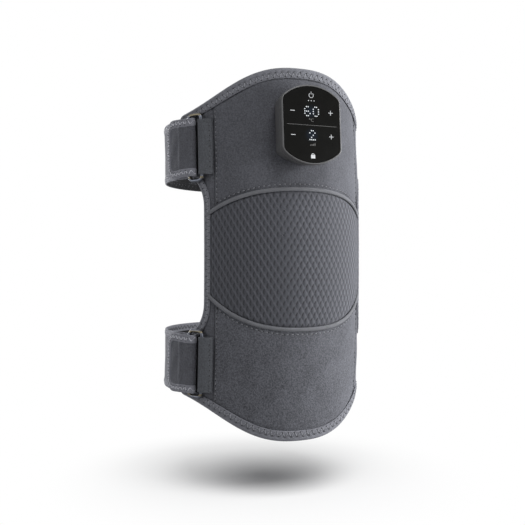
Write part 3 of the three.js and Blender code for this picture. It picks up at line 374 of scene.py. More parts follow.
class Skin:
    """Vertices, faces and flat coordinates of one piece while it is made."""

    def __init__(self) -> None:
        """Starts with nothing."""
        self.points: list[Array] = []
        self.faces: list[Array] = []
        self.flat: list[Array] = []
        self.count = 0

    def add_points(self, points: Array) -> Array:
        """Adds points.

        Args:
            points: Points (..., 3).

        Returns:
            Their indices in the same layout.
        """
        count = int(np.prod(points.shape[:-1]))
        self.points.append(points.reshape(-1, 3))
        index = np.arange(self.count, self.count + count).reshape(points.shape[:-1])
        self.count += count
        return index

    def cells(self, index: Array, flat: Array, wrap_rows: bool = False,
              wrap_columns: bool = False, flip: bool = False) -> None:
        """Adds the four-cornered cells of a grid of vertex indices.

        Args:
            index: Vertex indices (rows, columns).
            flat: Flat coordinates; one row or column longer where it wraps.
            wrap_rows: Joins the last row to the first.
            wrap_columns: Joins the last column to the first.
            flip: Turns the faces over.
        """
        if wrap_rows:
            index = np.concatenate([index, index[:1]])
        if wrap_columns:
            index = np.concatenate([index, index[:, :1]], axis=1)
        step = -1 if flip else 1
        self.faces.append(np.stack(corners(index)[::step], axis=2).reshape(-1, 4))
        self.flat.append(np.stack(corners(flat)[::step], axis=2).reshape(-1, 4, 2))

    def grid(self, points: Array, flat: Array, wrap_rows: bool = False,
             wrap_columns: bool = False) -> Array:
        """Adds a grid of points with its cells.

        Args:
            points: Places, (rows, columns, 3).
            flat: Flat coordinates; one row or column longer where it wraps.
            wrap_rows: Joins the last row to the first.
            wrap_columns: Joins the last column to the first.

        Returns:
            Vertex indices, (rows, columns).
        """
        index = self.add_points(points)
        self.cells(index, flat, wrap_rows, wrap_columns)
        return index

    def fan(self, ring: Array, point: Array, flip: bool = False) -> None:
        """Closes a ring with triangles to one point.

        Args:
            ring: Vertex indices in order.
            point: Place of the middle.
            flip: Turns the faces over.
        """
        pole = int(self.add_points(point.reshape(1, 3))[0])
        after = np.roll(ring, -1)
        first, second = (after, ring) if flip else (ring, after)
        faces = np.stack([first, second, np.full_like(ring, pole)], axis=1)
        self.faces.append(faces)
        self.flat.append(np.zeros((len(ring), 3, 2)))

    def piece(self, name: str, material: bpy.types.Material,
              crease: float = 50.0) -> bpy.types.Object:
        """Makes the object, with its faces out and its flat coordinates as a UV map.

        Args:
            name: Name of the piece.
            material: Its finish.
            crease: Least angle in degrees that stays sharp.

        Returns:
            The new object, at the origin.
        """
        points = np.concatenate(self.points)
        volume = sum(float(np.einsum("ij,ij->", points[f[:, 0]], np.cross(
            points[f[:, k]], points[f[:, k + 1]]))) for f in self.faces
            for k in range(1, f.shape[1] - 1))
        step = -1 if volume < 0 else 1
        faces = [row for block in self.faces for row in block[:, ::step].tolist()]
        mesh = bpy.data.meshes.new(name)
        mesh.from_pydata(points.tolist(), [], faces)
        layer = mesh.uv_layers.new(name=FLAT_MAP)
        layer.data.foreach_set("uv", np.concatenate(
            [block[:, ::step].reshape(-1) for block in self.flat]) / MM)
        mesh.shade_smooth()
        mesh.set_sharp_from_angle(angle=math.radians(crease))
        mesh.materials.append(material)
        return stand(name, mesh)


def slab(outer: Array, inner: Array, flat: Array) -> Skin:
    """Closed sheet between two grids of points that share a layout.

    Args:
        outer: Points (rows, columns, 3) of the face.
        inner: Points of the back.
        flat: Flat coordinates (rows, columns, 2).

    Returns:
        The skin: face, back, and a strip round the rim.
    """
    skin = Skin()
    face = skin.grid(outer, flat)
    back = skin.add_points(inner)
    skin.cells(back, flat, flip=True)

    def rim(grid: Array) -> Array:
        """Values along the four sides of a grid, in order."""
        return np.concatenate([grid[0, :-1], grid[:-1, -1], grid[-1, :0:-1], grid[:0:-1, 0]])

    sides = np.stack([rim(back), rim(face)])
    around = np.stack([rim(flat), rim(flat)])
    skin.cells(sides, np.concatenate([around, around[:, :1]], axis=1), wrap_columns=True)
    return skin


def tube(rings: Array, is_loop: bool = False) -> Skin:
    """Skin over rings of points, closed by poles unless it is a loop.

    Args:
        rings: Points (stations, sides, 3).
        is_loop: Joins the last ring to the first.

    Returns:
        The skin; its flat coordinates are the length along and the length round.
    """
    skin = Skin()
    path = rings.mean(axis=1)
    along = run_length(closed(path) if is_loop else path)
    around = run_length(closed(rings[0]))
    flat = np.stack(np.meshgrid(along, around, indexing="ij"), axis=-1)
    index = skin.grid(rings, flat, wrap_rows=is_loop, wrap_columns=True)
    if not is_loop:
        skin.fan(index[0], path[0], flip=True)
        skin.fan(index[-1], path[-1])
    return skin


def threads(starts: Array, ends: Array, out: Array, radius: float, bow: float) -> Skin:
    """Short bowed lengths of thread, each closed: a swept ring that tapers at both ends.

    Args:
        starts: Points (n, 3) where each goes in.
        ends: Points (n, 3) where each comes out.
        out: Directions (n, 3) out of the cloth.
        radius: Thread radius.
        bow: Rise of the middle above the ends.

    Returns:
        One skin that holds them all.
    """
    share, fat, turn = THREAD_STATIONS, radius * THREAD_TAPER, whole_turn(THREAD_SIDES)
    along = unit(ends - starts)
    aside = unit(np.cross(out, along))
    rise = unit(np.cross(along, aside))
    middle = starts[:, None] + share[None, :, None] * (ends - starts)[:, None]
    middle = middle + (bow * np.sin(math.pi * share))[None, :, None] * rise[:, None]
    spokes = circle(turn) @ np.stack([aside, rise], axis=1)
    rings = middle[:, :, None] + fat[None, :, None, None] * spokes[:, None]
    skin = Skin()
    index = skin.add_points(rings)
    poles = [skin.add_points(starts), skin.add_points(ends)]
    wrapped = np.concatenate([index, index[:, :, :1]], axis=2)
    cells = np.stack([wrapped[:, :-1, :-1], wrapped[:, :-1, 1:],
                      wrapped[:, 1:, 1:], wrapped[:, 1:, :-1]], axis=-1).reshape(-1, 4)
    skin.faces.append(cells)
    length = np.linalg.norm(ends - starts, axis=1)[:, None, None] * share[None, :, None]
    flat = paired(length, turn * radius).reshape(-1, 2)
    skin.flat.append(flat[cells])
    for pole, ring, flip in ((poles[0], wrapped[:, 0], True), (poles[1], wrapped[:, -1], False)):
        first, second = (ring[:, 1:], ring[:, :-1]) if flip else (ring[:, :-1], ring[:, 1:])
        faces = np.stack([first, second, np.broadcast_to(pole[:, None], first.shape)], axis=-1)
        skin.faces.append(faces.reshape(-1, 3))
        skin.flat.append(np.zeros((faces.size // 3, 3, 2)))
    return skin


# Finishes


def linear(*levels: float) -> Colour:
    """Screen levels from 0 to 255 as the linear colour that a shader takes."""
    share = np.array(levels, float) / 255
    value = np.where(share <= 0.04045, share / 12.92, ((share + 0.055) / 1.055) ** 2.4)
    return tuple(float(level) for level in value)


def shaded(colour: Colour, amount: float = 1.0) -> tuple[float, float, float, float]:
    """Colour times an amount, with full alpha."""
    return (*(min(1.0, level * amount) for level in colour), 1.0)


class Signal:
    """Output of a shader node, on which arithmetic adds Math nodes."""

    def __init__(self, recipe: "Recipe", socket: bpy.types.NodeSocket) -> None:
        """Wraps a socket of a recipe."""
        self.recipe = recipe
        self.socket = socket

    def __add__(self, other: "Signal | float") -> "Signal":
        """Sum."""
        return self.recipe.maths("ADD", self, other)

    def __sub__(self, other: "Signal | float") -> "Signal":
        """Difference."""
        return self.recipe.maths("SUBTRACT", self, other)

    def __rsub__(self, other: float) -> "Signal":
        """Difference from a number."""
        return self.recipe.maths("SUBTRACT", other, self)

    def __mul__(self, other: "Signal | float") -> "Signal":
        """Product."""
        return self.recipe.maths("MULTIPLY", self, other)

    __radd__ = __add__
    __rmul__ = __mul__

    def __truediv__(self, other: "Signal | float") -> "Signal":
        """Quotient."""
        return self.recipe.maths("DIVIDE", self, other)

    def wave(self) -> "Signal":
        """Sine."""
        return self.recipe.maths("SINE", self)

    def size(self) -> "Signal":
        """Size without sign."""
        return self.recipe.maths("ABSOLUTE", self)

    def power(self, exponent: float) -> "Signal":
        """Power of this."""
        return self.recipe.maths("POWER", self, exponent)

    def offset_from_whole(self) -> "Signal":
        """Distance to the nearest whole number, from -0.5 to 0.5."""
        return self - self.recipe.maths("ROUND", self)

    def ramp(self, low: float, high: float) -> "Signal":
        """Blend from 0 at low to 1 at high, smoothly."""
        return Signal(self.recipe, self.recipe.node(
            "ShaderNodeMapRange", {"interpolation_type": "SMOOTHSTEP"},
            {"Value": self, "From Min": low, "From Max": high}).outputs["Result"])


class Recipe:
    """Node tree of one material or world."""

    def __init__(self, name: str, owners: bpy.types.bpy_prop_collection | None = None) -> None:
        """Starts with an empty tree.

        Args:
            name: Name of the material or world.
            owners: Collection that it goes into, where that isn't the materials.
        """
        self.owner = (bpy.data.materials if owners is None else owners).new(name)
        self.owner.use_nodes = True
        self.tree = self.owner.node_tree
        self.tree.nodes.clear()

    def node(self, kind: str, settings: dict | None = None,
             inputs: dict | None = None) -> bpy.types.Node:
        """Adds a node.

        Args:
            kind: Node type.
            settings: Node properties, set first.
            inputs: Values by socket name or number, or a Signal or node to link.

        Returns:
            The new node.
        """
        node = self.tree.nodes.new(kind)
        for key, value in (settings or {}).items():
            setattr(node, key, value)
        for key, value in (inputs or {}).items():
            if isinstance(value, bpy.types.Node):
                value = Signal(self, value.outputs[0])
            if isinstance(value, Signal):
                self.tree.links.new(value.socket, node.inputs[key])
            else:
                node.inputs[key].default_value = value
        return node

    def maths(self, operation: str, *values: "Signal | float") -> Signal:
        """Adds a Math node on values."""
        node = self.node("ShaderNodeMath", {"operation": operation}, dict(enumerate(values)))
        return Signal(self, node.outputs[0])

    def place(self) -> Signal:
        """Object coordinates."""
        return Signal(self, self.node("ShaderNodeTexCoord").outputs["Object"])

    def parts(self, vector: "Signal | bpy.types.Node") -> list[Signal]:
        """The three parts of a vector."""
        split = self.node("ShaderNodeSeparateXYZ", inputs={0: vector})
        return [Signal(self, output) for output in split.outputs]

    def flat(self) -> list[Signal]:
        """Flat coordinates of the cloth, in millimetres along and across."""
        return self.parts(self.node("ShaderNodeUVMap", {"uv_map": FLAT_MAP}))[:2]

    def noise(self, pitch: float, detail: float = 2.0, stretch: Colour = (1, 1, 1)) -> Signal:
        """Noise on object coordinates.

        Args:
            pitch: Size of its grains, in metres.
            detail: Octaves of finer grain.
            stretch: Factors on the three axes.

        Returns:
            A level about 0.5.
        """
        mapping = self.node("ShaderNodeMapping", inputs={
            "Vector": self.place(), "Scale": tuple(factor / pitch for factor in stretch)})
        return Signal(self, self.node("ShaderNodeTexNoise", inputs={
            "Vector": mapping, "Scale": 1.0, "Detail": detail}).outputs[0])

    def blend(self, amount: "Signal | float", first: object, second: object) -> Signal:
        """Mixes two colours, by an amount from 0 to 1."""
        node = self.node("ShaderNodeMix", {"data_type": "RGBA"}, {0: amount, 6: first, 7: second})
        return Signal(self, node.outputs[2])

    def tones(self, amount: Signal, colour: Colour, first: float, second: float) -> Signal:
        """Blends two tones of one colour, each given as a factor on it."""
        return self.blend(amount, shaded(colour, first), shaded(colour, second))

    def mix(self, amount: Signal, first: bpy.types.Node, second: bpy.types.Node) -> bpy.types.Node:
        """Mixes two shaders, by an amount from 0 to 1."""
        return self.node("ShaderNodeMixShader", inputs={0: amount, 1: first, 2: second})

    def relief(self, height: Signal, depth: float) -> Signal:
        """Normal of a relief of a given depth."""
        return Signal(self, self.node("ShaderNodeBump", inputs={
            "Strength": 1.0, "Distance": depth, "Height": height}).outputs[0])


@dataclass(frozen=True)
class Finish:
    """Named finish, with the colour that it varies about."""

    name: str
    colour: Colour

    def inputs(self, recipe: Recipe) -> dict:
        """Socket values of the Principled BSDF, which each kind of finish works out."""
        raise NotImplementedError

    def material(self) -> bpy.types.Material:
        """Builds the material."""
        recipe = Recipe(self.name)
        shader = recipe.node("ShaderNodeBsdfPrincipled", inputs=self.inputs(recipe))
        recipe.node("ShaderNodeOutputMaterial", inputs={0: shader})
        return recipe.owner


def fibre_sheen(weight: float, roughness: float, *tint: float) -> dict:
    """Sheen of brushed or woven fibres, with its tint in screen levels."""
    return {"Sheen Weight": weight, "Sheen Roughness": roughness,
            "Sheen Tint": shaded(linear(*tint))}


@dataclass(frozen=True)
class BrushedCloth(Finish):
    """Brushed knit with a short nap: speckled colour, fine grain and sheen.

    Given a place for it, painted shade darkens the cloth under the rings, where they shade the
    wing, at that girth and at that distance above and below the middle, in millimetres.
    """

    speckle: float = 0.24
    grain: float = 0.35 * MM
    sheen: float = 0.25
    # Girth and height of the painted shade under the rings.
    ring_gap_shade: tuple[float, float] | None = None

    def inputs(self, recipe: Recipe) -> dict:
        """Works out the surface.

        Args:
            recipe: Node tree that takes the nodes.

        Returns:
            Socket values of the Principled BSDF.
        """
        fine = recipe.noise(0.5 * MM, 2.0)
        nap = recipe.noise(1.25 * MM, 2.0)
        patch = recipe.noise(16 * MM, 1.0)
        level = fine * 0.35 + nap * 0.52 + patch * 0.13
        contrast = 1.6 * self.speckle
        colour = recipe.tones(level.ramp(0.3, 0.7), self.colour, 1 - contrast, 1 + contrast)
        # Painted shade: near-black in the gap under the rings.
        if self.ring_gap_shade:
            girth, height = recipe.flat()
            painted_gap_shade = (1 - (girth - self.ring_gap_shade[0]).size().ramp(4.6, 6.2)) * (
                1 - (height.size() - self.ring_gap_shade[1]).size().ramp(22, 26))
            colour = recipe.blend(painted_gap_shade * 0.85, colour, shaded(linear(12, 12, 13)))
        return {"Base Color": colour, "Roughness": 0.92, "Specular IOR Level": 0.25,
                **fibre_sheen(self.sheen, 0.45, 200, 202, 212),
                "Normal": recipe.relief(fine * 0.6 + nap * 0.4, self.grain)}


@dataclass(frozen=True)
class DiamondKnit(Finish):
    """Embossed knit: rounded lozenges in relief, with painted shade and highlight of them as lit
    from the right.
    """

    across: float = 5.3
    along: float = 9.1

    def inputs(self, recipe: Recipe) -> dict:
        """Works out the surface; the lattice is worked out on the flat coordinates.

        Args:
            recipe: Node tree that takes the nodes.

        Returns:
            Socket values of the Principled BSDF.
        """
        girth, height = recipe.flat()
        rising = girth * (1 / self.across) + height * (1 / self.along)
        falling = girth * (1 / self.across) - height * (1 / self.along)
        off_rising = rising.offset_from_whole()
        off_falling = falling.offset_from_whole()
        # Share of the left side, where the lozenges are lit from the right at a slant; it gets
        # painted crescents and highlight lines, and is painted darker.
        left = 1 - girth.ramp(-45, 8)
        beside = (rising - 0.5).offset_from_whole()
        slant = beside - off_falling
        curve = (beside + off_falling - slant * slant * 1.1 + 0.08).size()
        # Painted shade: dark crescents at the lozenges' left sides and dark dashes in the grooves;
        # painted highlight: light lines along one diagonal.
        painted_crescent_shade = (1 - curve.ramp(0.08, 0.26)) * (1 - slant.size().ramp(0.3, 0.6))
        painted_dash_shade = (1 - off_falling.size().ramp(0.05, 0.17)) * (1 - beside.size().ramp(0.14, 0.34))
        painted_ridge_highlight = 1 - (off_rising + off_falling * 0.2).size().ramp(0.03, 0.17)
        fine = recipe.noise(0.5 * MM, 2.0)
        shade = (painted_dash_shade * (1 - left) * 0.8 + painted_crescent_shade * left * 0.7 - painted_ridge_highlight * (left * 0.62 + 0.06)
                 + left * 0.14 + (fine - 0.5) * 0.65).ramp(-0.65, 0.95)
        colour = recipe.tones(shade, self.colour, 1.55, 0.42)
        slope = (falling * math.pi).wave().size().power(0.4)
        steep = (rising * math.pi).wave().size()
        shape = (1 - steep) * left * 0.8 + slope * (
            left * 0.25 + (1 - left) * steep.power(0.5) * 0.4)
        return {"Base Color": colour, "Roughness": 0.88, "Specular IOR Level": 0.3,
                **fibre_sheen(0.4, 0.4, 200, 202, 212),
                "Normal": recipe.relief(shape + fine * 0.25, 0.7 * MM)}


@dataclass(frozen=True)
class WovenTape(Finish):
    """Binding tape: fine ribs across its length."""

    rib: float = 0.9
    sheen: float = 0.3

    def inputs(self, recipe: Recipe) -> dict:
        """Works out the surface; the ribs follow the flat coordinates.

        Args:
            recipe: Node tree that takes the nodes.

        Returns:
            Socket values of the Principled BSDF.
        """
        along, across = recipe.flat()
        ribs = (along * (2 * math.pi / self.rib)).wave() * 0.5 + 0.5
        picks = (across * (2 * math.pi / (self.rib * 0.7))).wave() * 0.5 + 0.5
        fine = recipe.noise(0.5 * MM, 2.0)
        patch = recipe.noise(6 * MM, 2.0)
        level = ribs * 0.22 + picks * 0.12 + fine * 0.36 + patch * 0.3
        colour = recipe.tones(level.ramp(0.25, 0.75), self.colour, 0.74, 1.26)
        return {"Base Color": colour, "Roughness": 0.85, "Specular IOR Level": 0.35,
                **fibre_sheen(self.sheen, 0.4, 205, 207, 216),
                "Normal": recipe.relief(ribs * 0.4 + picks * 0.2 + fine * 0.6, 0.22 * MM)}


@dataclass(frozen=True)
class Thread(Finish):
    """Twisted sewing thread."""

    def inputs(self, recipe: Recipe) -> dict:
        """Works out the surface; the twist runs slanting round the thread.

        Args:
            recipe: Node tree that takes the nodes.

        Returns:
            Socket values of the Principled BSDF.
        """
        along, around = recipe.flat()
        twist = ((along * 2.2 + around * 1.4) * (2 * math.pi)).wave() * 0.5 + 0.5
        colour = recipe.tones(twist, self.colour, 0.7, 1.15)
        return {"Base Color": colour, "Roughness": 0.7,
                "Normal": recipe.relief(twist, 0.05 * MM)}


@dataclass(frozen=True)
class OpenCellFoam(Finish):
    """Foam with small open cells."""

    def inputs(self, recipe: Recipe) -> dict:
        """Works out the surface from cells of Voronoi distance.

        Args:
            recipe: Node tree that takes the nodes.

        Returns:
            Socket values of the Principled BSDF.
        """
        cells = recipe.node("ShaderNodeTexVoronoi", inputs={
            "Vector": recipe.place(), "Scale": 1 / (0.9 * MM)})
        level = Signal(recipe, cells.outputs[0])
        colour = recipe.tones(level.ramp(0.1, 0.6), self.colour, 0.55, 1.1)
        return {"Base Color": colour, "Roughness": 0.95,
                "Normal": recipe.relief(level, 0.3 * MM)}


@dataclass(frozen=True)
class Moulded(Finish):
    """Moulded plastic with a fine spark-eroded texture."""

    roughness: float = 0.5
    texture: float = 0.03 * MM
    specular: float = 0.4

    def inputs(self, recipe: Recipe) -> dict:
        """Works out the surface.

        Args:
            recipe: Node tree that takes the nodes.

        Returns:
            Socket values of the Principled BSDF.
        """
        grain = recipe.noise(0.35 * MM, 3.0)
        wear = recipe.noise(9 * MM, 3.0)
        colour = recipe.tones(wear.ramp(0.3, 0.75), self.colour, 0.93, 1.08)
        return {"Base Color": colour, "Specular IOR Level": self.specular,
                "Roughness": (wear - 0.5) * 0.12 + self.roughness,
                "Normal": recipe.relief(grain, self.texture)}


@dataclass(frozen=True)
class Metal(Finish):
    """Plated or turned metal with fine drawn lines and light handling marks."""

    roughness: float
    stretch: Colour = (1, 1, 0.12)

    def inputs(self, recipe: Recipe) -> dict:
        """Works out the surface.

        Args:
            recipe: Node tree that takes the nodes.

        Returns:
            Socket values of the Principled BSDF.
        """
        lines = recipe.noise(0.5 * MM, 3.0, self.stretch)
        marks = recipe.noise(4 * MM, 3.0)
        colour = recipe.tones(marks.ramp(0.35, 0.7), self.colour, 0.88, 1.05)
        return {"Base Color": colour, "Metallic": 1.0,
                "Roughness": (lines - 0.5) * 0.2 + (marks - 0.5) * 0.15 + self.roughness,
                "Normal": recipe.relief(lines, 0.012 * MM)}


@dataclass(frozen=True)
class RingPlate(Finish):
    """Satin gunmetal plate, with a painted warm reflection on the inner side of a ring's short
    bars.
    """

    warm_reflection: Colour
    roughness: float = 0.42

    def inputs(self, recipe: Recipe) -> dict:
        """Works out the surface; the side with the painted reflection is told by its height from
        the ring's middle.

        Args:
            recipe: Node tree that takes the nodes.

        Returns:
            Socket values of the Principled BSDF.
        """
        level = recipe.parts(recipe.place())[2].size() - (UPPER_LEVEL - LOWER_LEVEL) / 2
        # Painted reflection: a warm tint on the inner side of the short bars.
        inner = level.size().ramp(24.6 * MM, 25.4 * MM) * (
            1 - level.size().ramp(26.0 * MM, 27.4 * MM))
        marks = recipe.noise(4 * MM, 3.0)
        colour = recipe.blend(inner, shaded(self.colour), shaded(self.warm_reflection))
        return {"Base Color": colour, "Metallic": 1.0,
                "Roughness": (marks - 0.5) * 0.2 + self.roughness,
                "Normal": recipe.relief(recipe.noise(0.5 * MM, 3.0), 0.012 * MM)}


@dataclass(frozen=True)
class TouchFace(Finish):
    """Satin black glass over a dark display, with a painted cool glow round the lit digits."""

    tint: Colour
    places: tuple[tuple[float, float, float], ...]
    spread: float = 7 * MM

    def inputs(self, recipe: Recipe) -> dict:
        """Works out the surface; the painted glow fades with distance from each display.

        Args:
            recipe: Node tree that takes the nodes.

        Returns:
            Socket values of the Principled BSDF.
        """
        smear = recipe.noise(7 * MM, 3.0)
        glow: Signal | None = None
        for place in self.places:
            away = recipe.node("ShaderNodeVectorMath", {"operation": "DISTANCE"},
                               {0: recipe.place(), 1: place})
            near = 1 - Signal(recipe, away.outputs["Value"]).ramp(0.1 * self.spread, self.spread)
            glow = near if glow is None else glow + near
        # Painted glow: the cool tint round each display.
        colour = recipe.blend(glow, shaded(self.colour), shaded(self.tint))
        return {"Base Color": colour, "Specular IOR Level": 0.05,
                "Roughness": (smear - 0.5) * 0.14 + 0.3, "IOR": 1.5}


@dataclass(frozen=True)
class Lit(Finish):
    """Marks that glow: lit marks through the glass, and print with a painted glow."""

    strength: float

    def inputs(self, recipe: Recipe) -> dict:
        """Works out the surface; the glow is a little uneven, as from small lamps.

        Args:
            recipe: Node tree that takes the nodes.

        Returns:
            Socket values of the Principled BSDF.
        """
        uneven = recipe.noise(1.5 * MM, 1.0)
        colour = recipe.tones(uneven.ramp(0.2, 0.8), self.colour, 0.85, 1.1)
        return {"Base Color": (0.02, 0.02, 0.02, 1), "Roughness": 0.5,
                "Emission Color": colour, "Emission Strength": self.strength}


@dataclass(frozen=True)
class HeatingTracks(Finish):
    """Amber film with a meander of copper-coloured tracks."""

    copper: Colour

    def inputs(self, recipe: Recipe) -> dict:
        """Works out the surface; tracks run round the leg, a few millimetres apart.

        Args:
            recipe: Node tree that takes the nodes.

        Returns:
            Socket values of the Principled BSDF.
        """
        level = recipe.parts(recipe.place())[2] * (1 / (4 * MM))
        track = 1 - level.offset_from_whole().size().ramp(0.12, 0.16)
        colour = recipe.blend(track, shaded(self.colour), shaded(self.copper))
        return {"Base Color": colour, "Roughness": 0.35, "Metallic": track * 0.8,
                "Normal": recipe.relief(track, 0.05 * MM)}


class Palette:
    """Materials of the model, each made once."""

    def __init__(self) -> None:
        """Builds every finish."""
        finishes = [
            BrushedCloth("panel_cloth", linear(69, 70, 75)),
            BrushedCloth("lower_panel_cloth", linear(71, 72, 77), speckle=0.36),
            # Left wings' cloth, with painted shade under the rings.
            BrushedCloth("ring_side_cloth", linear(69, 70, 75), ring_gap_shade=(-91.0, 88.6)),
            BrushedCloth("strap_cloth", linear(65, 66, 71), sheen=0.4),
            BrushedCloth("tab_cloth", linear(68, 70, 74), speckle=0.2),
            BrushedCloth("lining_cloth", linear(40, 40, 43), sheen=0.1),
            # Near-black: pile tone and painted shade inside the strap's loop.
            BrushedCloth("dark_pile_and_shade", linear(26, 26, 28), sheen=0.04),
            DiamondKnit("knee_knit", linear(59, 60, 65)),
            WovenTape("binding_tape", linear(94, 95, 101)),
            WovenTape("strap_tape", linear(104, 105, 112)),
            WovenTape("piping_tape", linear(88, 89, 93), rib=0.7, sheen=0.15),
            Thread("pale_thread", linear(176, 177, 184)),
            Thread("panel_thread", linear(104, 105, 110)),
            Thread("seam_thread", linear(92, 93, 98)),
            Thread("binding_thread", linear(116, 117, 123)),
            Thread("tape_thread", linear(66, 67, 71)),
            # Near-black: painted shade of the needle holes.
            Moulded("needle_holes", linear(18, 18, 20), 0.9),
            OpenCellFoam("grey_foam", linear(66, 66, 68)),
            OpenCellFoam("hook_pile", linear(46, 47, 50)),
            Moulded("case_plastic", linear(64, 64, 65), 0.42),
            # The second colour is a painted glow round the digits.
            TouchFace("touch_glass", linear(9, 9, 8), linear(18, 24, 32),
                      ((0, -94.6 * MM, 112.4 * MM), (0, -96.8 * MM, 93.6 * MM))),
            Lit("lit_digits", linear(238, 245, 255), 0.95),
            Lit("lit_icons", linear(222, 225, 228), 0.9),
            # Print drawn with a weak painted glow.
            Lit("print_painted_glow", linear(120, 120, 118), 0.4),
            # The second colour is a painted warm reflection.
            RingPlate("gunmetal_plate", linear(84, 87, 95), linear(98, 92, 78)),
            Metal("turned_steel", linear(196, 198, 202), 0.3),
            Metal("cell_foil", linear(170, 172, 176), 0.4, (1, 1, 1)),
            HeatingTracks("heating_tracks", linear(176, 112, 38), linear(150, 84, 52)),
            Moulded("circuit_board", linear(29, 88, 56), 0.5),
            Moulded("black_plastic", linear(26, 27, 28), 0.45),
        ]
        self._made = {finish.name: finish.material() for finish in finishes}

    def __getitem__(self, name: str) -> bpy.types.Material:
        """The material of that name."""
        return self._made[name]


class Body(Enum):
    """Bodies that the pieces ride on."""

    WRAP = "wrap"
    UPPER_RING = "upper_ring_body"
    UPPER_FLAP = "upper_flap_body"
    LOWER_RING = "lower_ring_body"
    LOWER_FLAP = "lower_flap_body"


def label(obj: bpy.types.Object, replaced: Sequence[str], where: str) -> None:
    """Hides the nodes that a piece stands for, and reports it.

    Args:
        obj: The piece.
        replaced: Nodes that it stands for.
        where: Words that say what it rides on.
    """
    if replaced:
        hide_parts(*replaced)
    LOG.info("%s: %d faces %s", obj.name, len(obj.data.polygons), where)


def settle(obj: bpy.types.Object, body: Body,
           replaced: Sequence[str] = ()) -> bpy.types.Object:
    """Lets a finished piece ride on one body.

    Args:
        obj: The piece.
        body: Body that carries it.
        replaced: Nodes that it stands for.

    Returns:
        The same piece.
    """
    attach(obj, body.value)
    label(obj, replaced, f"on {body.value}")
    return obj


def bend(obj: bpy.types.Object, bodies: tuple[Body, Body],
         replaced: Sequence[str] = ()) -> bpy.types.Object:
    """Bakes a finished cloth piece's place into its mesh, and reports the two bodies that it lies
    between.

    Args:
        obj: The piece.
        bodies: Body before start and body after end.
        replaced: Nodes that the piece stands for.

    Returns:
        The same piece.
    """
    first, second = (body.value for body in bodies)
    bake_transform(obj)
    label(obj, replaced, f"from {first} to {second}")
    return obj


# Sewing


@dataclass(frozen=True)
class Stitching:
    """Sizes of the two stitches that the wrap is sewn with."""

    run_pitch: float = 4.2 * MM
    run_length: float = 2.5 * MM
    run_radius: float = 0.42 * MM
    zigzag_pitch: float = 5.4 * MM
    zigzag_radius: float = 0.38 * MM
    zigzag_near: float = 3.1 * MM
    zigzag_far: float = 6.1 * MM
    bow: float = 0.16 * MM
    hole_half: float = 0.6 * MM
    hole_radius: float = 0.46 * MM
    hole_bow: float = 0.05 * MM

    def running(self, path: Array, out: Array) -> Skin:
        """Row of separate stitches along a path.

        Args:
            path: Points (n, 3) on the cloth.
            out: Directions (n, 3) out of the cloth.

        Returns:
            The threads.
        """
        length = run_length(path)
        starts = np.arange(self.run_pitch / 2, length[-1] - self.run_length, self.run_pitch)
        return threads(sample(starts, length, path),
                       sample(starts + self.run_length, length, path),
                       unit(sample(starts, length, out)), self.run_radius, self.bow)

    def zigzag(self, near: Array, far: Array, out: Array) -> Skin:
        """Zigzag between two lines of points that already alternate at half the pitch."""
        path = by_turns(near, far)
        return threads(path[:-1], path[1:], out[:-1], self.zigzag_radius, self.bow)

    def hole_shadows(self, places: Array, along: Array, out: Array) -> Skin:
        """Painted shade of needle holes: short dark dimples at places, drawn out along the seam."""
        half = self.hole_half * unit(along)
        return threads(places - half, places + half, out, self.hole_radius, self.hole_bow)


STITCHING = Stitching()


@dataclass
class Assembly:
    """Pieces that share one wrap form and one palette."""

    form: WrapForm
    palette: Palette

    def add(self, skin: Skin, name: str, finish: str, slot: str, replaced: Sequence[str] = (),
            body: Body = Body.WRAP, crease: float = 50.0) -> bpy.types.Object:
        """Makes a skin a piece in a finish of the palette, and settles it on its body."""
        return settle(skin.piece(name, self.palette[finish], crease), body, replaced)

    def add_row(self, name: str, path: Array, out: Array, thread: str) -> None:
        """Adds a row of running stitches to the wrap, with the painted shade of its needle holes.

        Args:
            name: Name that both pieces begin with.
            path: Points (n, 3) just under the cloth's face.
            out: Directions (n, 3) out of the cloth.
            thread: Finish of the thread.
        """
        self.add(STITCHING.running(path, out), f"{name}_stitches", thread, "binding")
        length = run_length(path)
        spots = np.arange(0.02 * STITCHING.run_pitch, length[-1], STITCHING.run_pitch)
        along = sample(spots, length, np.gradient(path, axis=0))
        hole_shadows = STITCHING.hole_shadows(sample(spots, length, path), along,
                                unit(sample(spots, length, out)))
        # Painted shade of the needle holes.
        self.add(hole_shadows, f"{name}_needle_holes", "needle_holes", "black")


# The wrap's cover


